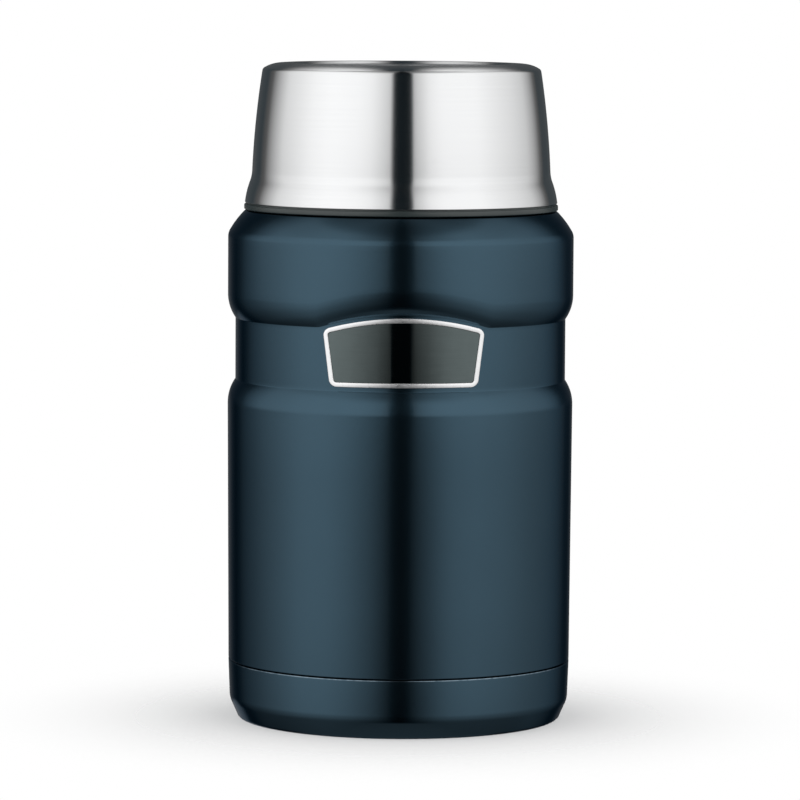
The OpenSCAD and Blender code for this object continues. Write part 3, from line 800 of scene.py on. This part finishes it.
def badge_outline(inset):
    """The badge from the front, anticlockwise from its lower right corner; every inset has as many points."""
    crown_r = (BADGE_TOP_X**2 + BADGE_CROWN**2) / (2 * BADGE_CROWN)
    crown_z = BADGE_TOP_Z - crown_r
    lean = math.degrees(math.atan2(BADGE_SIDE_LEAN, BADGE_TOP_Z - BADGE_Z - BADGE_CROWN))
    side_inset = inset / cos(lean)
    low = Vector((BADGE_LOW_X - side_inset + inset * tan(lean), BADGE_Z + inset))
    high_x = BADGE_TOP_X - side_inset
    high = Vector((high_x, crown_z + math.sqrt((crown_r - inset) ** 2 - high_x**2)))
    crown_angle = math.degrees(math.asin(high_x / (crown_r - inset)))
    start = 90 - crown_angle + BADGE_CORNER_TRIM
    crown = parted_arc((0, crown_z), crown_r - inset, start, 180 - start, count=40)
    r = BADGE_CORNER_R - inset
    low_right = rounded_corner(Vector((0, low.y)), low, high, r)
    high_right = rounded_corner(low, high, crown[0], r)
    right = low_right + parted_line(low_right[-1], high_right[0], count=10) + high_right
    left = [Vector((-p.x, p.y)) for p in reversed(right)]
    return right + crown[1:-1] + left + parted_line(left[-1], right[0], count=40)


def on_badge(point, height):
    """A point of the badge's front view on the curved waist, height millimetres above its seat."""
    r = BADGE_SEAT_R + height
    return Vector((point.x, -math.sqrt(r * r - point.x**2), point.y)) * MM


def make_badge_frame():
    """The bright border: one rounded section led round the badge's outline."""
    edge = 0.25
    section = []
    for corner_inset, start, end in ((edge, 180, 90), (BADGE_BORDER - edge, 90, 0)):
        section += arc((corner_inset, BADGE_FRAME_T - edge), edge, start, end, step=18)
    made = bmesh.new()
    rings = []
    for inset, height in [(0, 0), *section, (BADGE_BORDER, 0)]:
        rings.append([made.verts.new(on_badge(p, height)) for p in badge_outline(inset)])
    join_rings(made, rings, closed=True)
    piece = finish_mesh("badge_border", made, "jar", BADGE_BRIGHT, SOFT)
    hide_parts("badge_frame")


def make_badge_panel():
    """The bare dark plate, cut into upright strips so that it follows the waist's curve."""
    strip = 0.75
    made = bmesh.new()
    outline = badge_outline(BADGE_BORDER + WELD_GAP / 2)
    made.faces.new([made.verts.new((p.x, 0, p.y)) for p in outline])
    count = math.ceil(BADGE_TOP_X / strip)
    for i in range(-count, count + 1):
        geometry = made.verts[:] + made.edges[:] + made.faces[:]
        bmesh.ops.bisect_plane(made, geom=geometry, plane_co=(i * strip, 0, 0), plane_no=(1, 0, 0))
    extruded = bmesh.ops.extrude_face_region(made, geom=made.faces[:])
    raised = set(extruded["geom"])
    for v in made.verts:
        v.co = on_badge(Vector((v.co.x, v.co.z)), BADGE_PANEL_T if v in raised else 0)
    piece = finish_mesh("badge_plate", made, "jar", BADGE_DARK)
    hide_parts("badge_panel")


make_badge_frame()
make_badge_panel()

# ---- food vessel

VESSEL_NECK_R = MOUTH_R + VESSEL_SHEET
VESSEL_NECK_Z = SHOULDER_Z - VESSEL_SHOULDER_DROP


def vessel_skin(inset):
    """The vessel's profile from its weld up to the neck."""
    drop = VESSEL_R - VESSEL_NECK_R - VESSEL_SHOULDER_R * (1 - cos(VESSEL_TURN))
    hollow_r = drop / (1 - cos(VESSEL_TURN))
    shoulder_c = Vector((VESSEL_R - VESSEL_SHOULDER_R, VESSEL_NECK_Z))
    hollow_c = shoulder_c + (VESSEL_SHOULDER_R + hollow_r) * along(VESSEL_TURN)
    points = [(VESSEL_R - inset, VESSEL_WELD_Z)]
    points += arc(shoulder_c, VESSEL_SHOULDER_R - inset, 0, VESSEL_TURN)
    return points + arc(hollow_c, hollow_r + inset, 180 + VESSEL_TURN, 180)[1:]


def make_vessel():
    """The vessel's wall, whose lip laps over the top edge of the outer neck."""
    lip_r = (LIP_Z - NECK_TOP_Z) / 2
    bend = 0.5
    outline = vessel_skin(0) + [(VESSEL_NECK_R, NECK_TOP_Z)]
    outline += arc((NECK_R + LIP_OVERHANG - lip_r, NECK_TOP_Z + lip_r), lip_r, -90, 90, step=10)
    outline += arc((MOUTH_R + bend, LIP_Z - bend), bend, 90, 180, step=10)
    outline += vessel_skin(VESSEL_SHEET)[::-1]
    piece = finish_mesh("vessel_wall", spun(outline), "jar", BARE_STEEL)
    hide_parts("inner_liner")


def make_vessel_floor():
    """The dished floor, welded to the wall at its upper edge."""
    corner_c = Vector((VESSEL_R, VESSEL_BASE_Z)) + (VESSEL_SHEET + VESSEL_CORNER_R) * Vector((-1, 1))
    outline = to_axis(corner_c.x, VESSEL_BASE_Z, 5)[::-1]
    outline += arc(corner_c, VESSEL_CORNER_R + VESSEL_SHEET, -90, 0)
    outline += [(VESSEL_R, VESSEL_WELD_Z), (VESSEL_R - VESSEL_SHEET, VESSEL_WELD_Z)]
    outline += arc(corner_c, VESSEL_CORNER_R, 0, -90)
    outline += to_axis(corner_c.x, VESSEL_BASE_Z + VESSEL_SHEET, 5)
    piece = finish_mesh("vessel_floor", spun(outline), "jar", SPUN_STEEL)
    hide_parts("liner_bottom")


def make_mouth_thread():
    """The rolled thread inside the neck, for the stopper."""
    made = thread(
        MOUTH_R, rise=-0.8, width=2.4, z_start=MOUTH_THREAD_Z, pitch=STOPPER_PITCH, turns=1.6, start_angle=20
    )
    finish_mesh("mouth_thread", made, "jar", BARE_STEEL)


make_vessel()
make_vessel_floor()
make_mouth_thread()

# ---- stopper

GASKET_Z = LIP_Z + SEAL_GAP
FLANGE_Z = GASKET_Z + GASKET_H + SEAL_GAP


def make_stopper_core():
    """The plug with its flange; the hollow for the foam is open to the cap above."""
    floor_c = Vector((PLUG_R - PLUG_ROUND, PLUG_Z + PLUG_ROUND))
    hollow_r = PLUG_R - STOPPER_WALL
    outline = to_axis(floor_c.x, PLUG_Z, 5)[::-1]
    outline += arc(floor_c, PLUG_ROUND, -90, 0, step=6)
    outline += [(PLUG_R, FLANGE_Z), *rim(FLANGE_R, FLANGE_Z, FLANGE_TOP_Z, edge=0.35)]
    outline += [(hollow_r, FLANGE_TOP_Z), (hollow_r, PLUG_Z + STOPPER_WALL), (0, PLUG_Z + STOPPER_WALL)]
    piece = finish_mesh("stopper_plug", spun(outline), "stopper", STOPPER_PLASTIC)
    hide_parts("stopper_core")


def make_stopper_thread():
    """The moulded thread round the plug."""
    made = thread(
        PLUG_R, rise=0.65, width=2, z_start=PLUG_THREAD_Z, pitch=STOPPER_PITCH, turns=1.5, start_angle=215
    )
    finish_mesh("stopper_thread", made, "stopper", STOPPER_PLASTIC)


def scallop(r, z, angle):
    """Presses the grip scallops into the cap's outer wall, above its lowest stretch."""
    ease = 0.5
    if r < CAP_R - CAP_RIM_W / 2:
        return r, z
    pitch = 360 / SCALLOP_COUNT
    across = CAP_R * math.radians(abs(angle % pitch - pitch / 2))
    bite = SCALLOP_DEPTH - (SCALLOP_R - math.sqrt(max(SCALLOP_R**2 - across**2, 0)))
    share = min(1, max(0, (z - FLANGE_TOP_Z - STOPPER_WALL) / ease + 1))
    return r - max(0, bite) * share, z


def make_stopper_cap():
    """The cap's dished top with its scalloped rim."""
    edge = 0.7
    foot = 0.3
    floor_z = FLANGE_TOP_Z + STOPPER_WALL
    rim_z = FLANGE_TOP_Z + CAP_RIM_H
    inner_r = CAP_R - CAP_RIM_W
    fillet = 1.2
    outline = [(0, FLANGE_TOP_Z)]
    outline += arc((CAP_R - foot, FLANGE_TOP_Z + foot), foot, -90, 0, step=15)
    outline += line(outline[-1], (CAP_R, rim_z - edge), 0.5)
    outline += arc((CAP_R - edge, rim_z - edge), edge, 0, 90, step=10)
    outline += arc((inner_r + edge, rim_z - edge), edge, 90, 180, step=10)
    outline += arc((inner_r - fillet, floor_z + fillet), fillet, 0, -90, step=10)
    outline += to_axis(inner_r - fillet, floor_z, 4)
    made = spun(outline, scallop, segments=SCALLOP_COUNT * 24)
    piece = finish_mesh("stopper_cap_moulding", made, "stopper", STOPPER_PLASTIC, SOFT)
    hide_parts("stopper_cap")


def make_grip_bar():
    """The bar across the cap, with rounded edges and ends that run into the round rim."""
    low_z = FLANGE_TOP_Z + STOPPER_WALL / 2
    top_z = FLANGE_TOP_Z + CAP_RIM_H + GRIP_RISE
    end_r = CAP_R - CAP_RIM_W / 2
    edge = 1.1
    columns = 96
    made = bmesh.new()
    rings = []
    for i in range(columns + 1):
        x = end_r * sin(90 * (2 * i / columns - 1))
        half_w = min(GRIP_W / 2, math.sqrt(max(end_r**2 - x * x, 0)))
        profile = [(half_w, low_z)]
        profile += arc((half_w - min(edge, half_w), top_z - edge), edge, 0, 90, step=15)
        profile += [(-y, z) for y, z in reversed(profile)]
        near_end = max(0, edge - (end_r - abs(x)))
        drop = edge - math.sqrt(max(edge**2 - near_end**2, 0))
        rings.append([made.verts.new(Vector((x, y, max(low_z, z - drop))) * MM) for y, z in profile])
    join_rings(made, rings, closed=False)
    bmesh.ops.remove_doubles(made, verts=made.verts, dist=0.01 * MM)
    finish_mesh("stopper_grip_bar", made, "stopper", STOPPER_PLASTIC, SOFT)


def make_stopper_gasket():
    """The flat ring under the flange with its wiping sleeve, its edges softened."""
    bore_r = PLUG_R + SEAL_GAP
    sleeve_r = MOUTH_R - GASKET_SIDE_GAP
    foot_z = GASKET_Z - GASKET_SLEEVE_H
    top_z = GASKET_Z + GASKET_H
    sleeve = [(bore_r, foot_z), (sleeve_r, foot_z), (sleeve_r, GASKET_Z)]
    outline = rounded([*sleeve, (FLANGE_R, GASKET_Z), (FLANGE_R, top_z), (bore_r, top_z)], r=0.3)
    piece = finish_mesh("stopper_seal_ring", spun(outline), "stopper_seal", SILICONE)
    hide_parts("stopper_gasket")


make_stopper_core()
make_stopper_thread()
make_stopper_cap()
make_grip_bar()
make_stopper_gasket()

# ---- bowl lid

FLARE_C = Vector((BOWL_RIM_R, BOWL_RIM_Z)) - FLARE_R * along(RIM_SLOPE)
FLARE_HOLLOW_C = FLARE_C + (FLARE_R + FLARE_HOLLOW_R) * along(FLARE_SLOPE)
WALL_START = FLARE_HOLLOW_C - FLARE_HOLLOW_R * along(WALL_SLOPE)
WALL_C = WALL_START - WALL_BOW_R * along(WALL_SLOPE)
TOP_EDGE_Z = TOP_Z - TOP_CROWN_R + (TOP_CROWN_R - TOP_ROUND) * cos(TOP_SLOPE)
WALL_TOP_SLOPE = math.degrees(math.asin((TOP_EDGE_Z - WALL_C.y) / (WALL_BOW_R - TOP_ROUND)))
TOP_EDGE_C = WALL_C + (WALL_BOW_R - TOP_ROUND) * along(WALL_TOP_SLOPE)
TOP_CROWN_C = TOP_EDGE_C - (TOP_CROWN_R - TOP_ROUND) * along(90 - TOP_SLOPE)
TOP_RECESS_R = TOP_CROWN_C.x - TOP_RING_W - TOP_RECESS


def bowl_skin(inset):
    """The bowl's profile from its rim to the middle of its foot, moved inwards by inset."""
    step_r = TOP_RECESS_R + inset * tan(45 / 2)  # the recess's step slopes by 45 degrees
    points = arc(FLARE_C, FLARE_R - inset, RIM_SLOPE, FLARE_SLOPE, step=1)
    points += arc(FLARE_HOLLOW_C, FLARE_HOLLOW_R + inset, 180 + FLARE_SLOPE, 180 + WALL_SLOPE)[1:]
    points += arc(WALL_C, WALL_BOW_R - inset, WALL_SLOPE, WALL_TOP_SLOPE, step=0.25)[1:]
    points += arc(TOP_EDGE_C, TOP_ROUND - inset, WALL_TOP_SLOPE, 90 - TOP_SLOPE)[1:]
    points += arc(TOP_CROWN_C, TOP_CROWN_R - inset, 90 - TOP_SLOPE, 90)[1:]
    upper = Vector((step_r + TOP_RECESS, TOP_Z - inset))
    lower = Vector((step_r, TOP_Z - inset - TOP_RECESS))
    points += [upper + Vector(ease) for ease in UPPER_EASE]
    points += [lower + Vector(ease) for ease in LOWER_EASE]
    return points + to_axis(points[-1].x, lower.y, 5)


def make_bowl_shell():
    """The brushed steel outer wall. Its lower edge is rounded over."""
    hem_r = BOWL_SHEET / 2
    hem_c = Vector((BOWL_RIM_R - hem_r, BOWL_RIM_Z + hem_r))
    outer = [p for p in bowl_skin(0) if p.y > hem_c.y]
    inner = [p for p in bowl_skin(BOWL_SHEET) if p.y > hem_c.y]
    made = spun(arc(hem_c, hem_r, 180, 360, step=15) + outer + inner[::-1])
    piece = finish_mesh("bowl_outer_wall", made, "bowl", BRUSHED_STEEL)
    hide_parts("bowl_shell")


def make_bowl_liner():
    """The bowl's inner wall with its flange out to the steel."""
    low_z = RING_TOP_Z + WELD_GAP
    mouth_r = NECK_R + BOWL_NECK_GAP
    floor_z = TOP_Z - TOP_RECESS - BOWL_FOOT_GAP - 2 * BOWL_SHEET

    def skin(inset):
        corner_r = BOWL_CORNER_R + inset
        corner_z = floor_z - BOWL_CORNER_R
        end_z = corner_z + corner_r * sin(BOWL_DRAFT)
        end_x = mouth_r + inset - (end_z - low_z) * tan(BOWL_DRAFT)
        corner_c = Vector((end_x - corner_r * cos(BOWL_DRAFT), corner_z))
        return arc(corner_c, corner_r, BOWL_DRAFT, 90) + to_axis(corner_c.x, floor_z + inset, 5)

    flange_r = WALL_START.x - BOWL_SHEET - WELD_GAP
    flange_z = low_z + BOWL_SHEET
    bend = 0.3
    inside = [(mouth_r + bend, low_z), (mouth_r, low_z + bend), *skin(0)]
    outside = [(flange_r, low_z), (flange_r, flange_z), (mouth_r + BOWL_SHEET, flange_z), *skin(BOWL_SHEET)]
    piece = finish_mesh("bowl_inner_wall", spun(inside + outside[::-1]), "bowl", SPUN_STEEL)
    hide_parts("bowl_liner")


def make_thread_ring():
    """The plastic ring inside the rim, whose lower strip shows below the steel and clears the shoulder."""
    pocket_r = RING_BORE_R + BOWL_GASKET_W + SEAL_GAP
    pocket_z = LEDGE_Z + SEAL_GAP + BOWL_GASKET_H + SEAL_GAP
    sheet = BOWL_SHEET + WELD_GAP
    inside_r = BOWL_RIM_R - sheet
    clear_r = LEDGE_ROUND + RIM_GAP
    strip_top_z = BOWL_RIM_Z - WELD_GAP
    groove_floor = 0.2
    groove_r = inside_r + groove_floor
    groove_z = strip_top_z - STRIP_GROOVE
    edge = 0.3
    strip_angle = math.degrees(math.acos((STRIP_R - edge - LEDGE_C.x) / clear_r))
    flare = arc(FLARE_C, FLARE_R - sheet, RIM_SLOPE, FLARE_SLOPE, step=1)
    hollow = arc(FLARE_HOLLOW_C, FLARE_HOLLOW_R + sheet, 180 + FLARE_SLOPE, 180 + WALL_SLOPE, step=1)
    wall = [p for p in flare if p.y < RING_TOP_Z]
    wall += [p for p in hollow if wall[-1].y < p.y < RING_TOP_Z]
    outline = arc(LEDGE_C, clear_r, 90, strip_angle, step=6)
    outline += arc((STRIP_R - edge, outline[-1].y + edge), edge, -60, 0, step=15)
    outline += arc((STRIP_R - edge, groove_z - edge), edge, 0, 90, step=15)
    outline += [(groove_r, groove_z), (groove_r, strip_top_z), (inside_r, strip_top_z)]
    outline += [(inside_r, BOWL_RIM_Z), *wall]
    outline += [(wall[-1].x, RING_TOP_Z), (RING_BORE_R, RING_TOP_Z), (RING_BORE_R, pocket_z)]
    outline += [(pocket_r, pocket_z), (pocket_r, LEDGE_C.y + clear_r)]
    piece = finish_mesh("thread_ring_moulding", spun(outline), "bowl", RING_PLASTIC)
    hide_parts("bowl_thread_ring")


def make_ring_thread():
    """The moulded thread in the ring's bore, which runs between the turns of the neck's thread."""
    made = thread(
        RING_BORE_R, -LID_THREAD_RISE, width=1.6, z_start=LID_THREAD_Z - LID_PITCH / 2, pitch=LID_PITCH,
        turns=1.6, start_angle=LID_THREAD_ANGLE,
    )
    finish_mesh("ring_thread", made, "bowl", RING_PLASTIC)


def make_bowl_gasket():
    """The soft ring between the lid and the ledge, its edges softened."""
    outer_r = RING_BORE_R + BOWL_GASKET_W
    low_z = LEDGE_Z + SEAL_GAP
    top_z = low_z + BOWL_GASKET_H
    corners = [(RING_BORE_R, low_z), (outer_r, low_z), (outer_r, top_z), (RING_BORE_R, top_z)]
    made = spun(rounded(corners, r=0.35))
    piece = finish_mesh("bowl_seal_ring", made, "bowl_seal", DARK_SILICONE)
    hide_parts("bowl_gasket")


make_bowl_shell()
make_bowl_liner()
make_thread_ring()
make_ring_thread()
make_bowl_gasket()

# ---- nodes kept from the frame


def dress(node, material):
    """Gives a CAD node its finish."""
    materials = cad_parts[node].data.materials
    materials.clear()
    materials.append(material)


dress("vacuum_seal", glass_bead_material())
dress("radiation_foil", foil_material())
dress("getter", pressed_powder_material())
dress("getter_clip", BARE_STEEL)
dress("stopper_foam", foam_material())

# ---- studio

DOME_R = 2.4
DOME_LEVEL = 1.5

# Level of the light by angle round the jar, below the horizon and above it.
LOW_LIGHT = [
    (-180, 0.24), (-170, 0.14), (-160, 0.11), (-151, 0.05), (-143, 0.02), (-135, 0.07), (-128, 0.17),
    (-112, 0.34), (-93, 0.6), (-82, 0.76), (-72, 0.92), (-62, 0.98), (-50, 0.97), (-37, 0.8),
    (-20, 0.43), (-12, 0.2), (-7.8, 0.11), (-7, 0.006),
    (6, 0.006), (7, 0.09), (19, 0.37), (27, 0.61), (35, 0.78), (50, 0.87), (71, 0.77), (92, 0.58),
    (117, 0.4), (128, 0.27), (143, 0.05), (153, 0.025), (166, 0.09), (180, 0.24),
]
HIGH_LIGHT = [
    (-180, 0.055), (-143, 0.04), (-132, 0.08), (-121, 0.34), (-106, 0.67), (-90, 0.78), (-77, 0.88),
    (-60, 0.94), (-45, 0.93), (-35, 0.92), (-25, 0.87), (-16, 0.72), (-9, 0.58), (-8.2, 0.009),
    (7, 0.007), (7.8, 0.49), (12, 0.61), (21, 0.84), (30, 0.91), (40, 0.91), (61, 0.9), (72, 0.83),
    (84, 0.76), (98, 0.68), (113, 0.56), (124, 0.34), (134, 0.09), (140, 0.045), (180, 0.055),
]
LEVEL_BY_ELEVATION = [
    (-90, 0.06), (-60, 0.08), (-48, 0.18), (-38, 0.25), (-32, 0.38), (-27, 0.42), (-21, 0.48), (-16, 0.58),
    (-11, 0.68), (-7, 0.71), (-4, 0.73), (0, 0.94), (3, 1.02), (37, 1.0), (42, 0.93), (47, 0.84), (53, 0.82),
    (58, 0.76), (62, 0.48), (66, 0.35), (74, 0.28), (90, 0.26),
]
# The floor's glow, seen by what faces down.
GROUND_LEVEL = 0.17
GROUND_ELEVATION = -51
# The soft light overhead, behind the jar, by how far back it stands on the dome.
OVERHEAD_LIGHT = [
    (0.12, 0), (0.25, 0.85), (0.42, 0.9), (0.55, 0.6), (0.7, 0.3), (0.8, 0.12), (0.9, 0.05), (1, 0),
]
# Glow behind the jar's foot, by angle round the jar, seen by the base cup's sides.
FOOT_GLOW = [(-180, 0.1), (-166, 0.2), (-152, 0.2), (-145, 0), (148, 0), (160, 0.06), (180, 0.1)]
SHADE_TINT = (0.55, 0.95, 1.2)  # the studio's dark parts are a cool black


def make_light_dome():
    """Two tall soft boxes with a dark gap between them and dark flags behind, painted on one dome."""
    n = Nodes("light_dome")
    n.tree.nodes.remove(n.shader)
    x, y, z = n.axes(1 / DOME_R)
    azimuth = n.times(n.math("ARCTAN2", x, n.times(y, -1)), math.degrees(1))
    elevation = n.times(n.math("ARCSINE", z), math.degrees(1))
    level = n.toned(elevation, -2, 2.5, n.ramp(azimuth, LOW_LIGHT), n.ramp(azimuth, HIGH_LIGHT))
    shade = n.times(n.ranged(n.math("ABSOLUTE", azimuth), 12, 50, 0.5, 0), n.ranged(elevation, 30, 50))
    boxes = n.times(level, n.math("SUBTRACT", 1, shade), n.ramp(elevation, LEVEL_BY_ELEVATION))
    ground = n.ranged(elevation, GROUND_ELEVATION - 3, GROUND_ELEVATION, GROUND_LEVEL, 0)
    sideways = n.math("ABSOLUTE", x)
    two_patches = n.times(n.ranged(sideways, 0.05, 0.17), n.ranged(sideways, 0.38, 0.52, 1, 0))
    overhead = n.times(n.ramp(y, OVERHEAD_LIGHT), two_patches, n.ranged(elevation, 28, 42))
    near_floor = n.times(n.ranged(elevation, -9, -13), n.ranged(elevation, -40, -28))
    foot_glow = n.times(n.ramp(azimuth, FOOT_GLOW), near_floor)
    brightest = boxes
    for other in (ground, overhead, foot_glow):
        brightest = n.math("MAXIMUM", brightest, other)
    emission = n.add("Emission")
    tint = n.toned(brightest, 0.015, 0.065, SHADE_TINT, (1, 1, 1))
    n.put(emission, Color=tint, Strength=n.times(brightest, DOME_LEVEL))
    n.put(n.tree.nodes["Material Output"], Surface=emission.outputs[0])
    made = bmesh.new()
    bmesh.ops.create_uvsphere(made, u_segments=96, v_segments=48, radius=DOME_R)
    dome = new_object("light_dome", made, n.material)
    dome.visible_camera = False
    dome.visible_shadow = False


def make_floor():
    """A plain pale floor that thins out into the white round it. From below it is clear, to show the base."""
    n = Nodes("pale_floor")
    length = n.add("VectorMath", operation="LENGTH")
    n.put(length, Vector=n.place())
    near = n.ranged(length.outputs["Value"], 0.05, 0.13, 1, 0)
    from_above = n.math("SUBTRACT", 1, n.add("NewGeometry").outputs["Backfacing"])
    n.finish(Base_Color=(0.92, 0.92, 0.92), Roughness=0.9, Alpha=n.times(near, near, from_above, 0.6))
    made = bmesh.new()
    bmesh.ops.create_circle(made, cap_ends=True, segments=128, radius=0.5)
    floor = new_object("floor", made, n.material)
    floor.visible_glossy = False  # the walls mirror the studio


def make_world():
    """White where the camera, gloss or glass sees past the studio, and dark for everything else."""
    world = bpy.data.worlds.new("studio")
    bpy.context.scene.world = world
    world.use_nodes = True
    tree = world.node_tree
    background = tree.nodes["Background"]
    path = tree.nodes.new("ShaderNodeLightPath")
    seen = path.outputs["Is Camera Ray"]
    for kind in ("Is Glossy Ray", "Is Transmission Ray"):
        either = tree.nodes.new("ShaderNodeMath")
        either.operation = "MAXIMUM"
        tree.links.new(seen, either.inputs[0])
        tree.links.new(path.outputs[kind], either.inputs[1])
        seen = either.outputs[0]
    background.inputs["Color"].default_value = (1, 1, 1, 1)
    tree.links.new(seen, background.inputs["Strength"])


def make_camera():
    """The photograph's view: from a little above, with a long lens."""
    distance = 1.5
    azimuth = 1.3
    eye_height = 0.2217
    aim_height = 0.0924
    roll = 0.33
    data = bpy.data.cameras.new("camera")
    data.lens = 233.4
    data.sensor_width = 36
    camera = bpy.data.objects.new("camera", data)
    bpy.context.scene.collection.objects.link(camera)
    camera.location = (-distance * sin(azimuth), -distance * cos(azimuth), eye_height)
    aim = Vector((0, 0, aim_height)) - camera.location
    look = aim.to_track_quat("-Z", "Y").to_matrix().to_4x4()
    look.translation = camera.location
    camera.matrix_world = look @ Matrix.Rotation(math.radians(roll), 4, "Z")
    bpy.context.scene.camera = camera


make_light_dome()
make_floor()
make_world()
make_camera()
bpy.context.scene.view_settings.view_transform = "Standard"
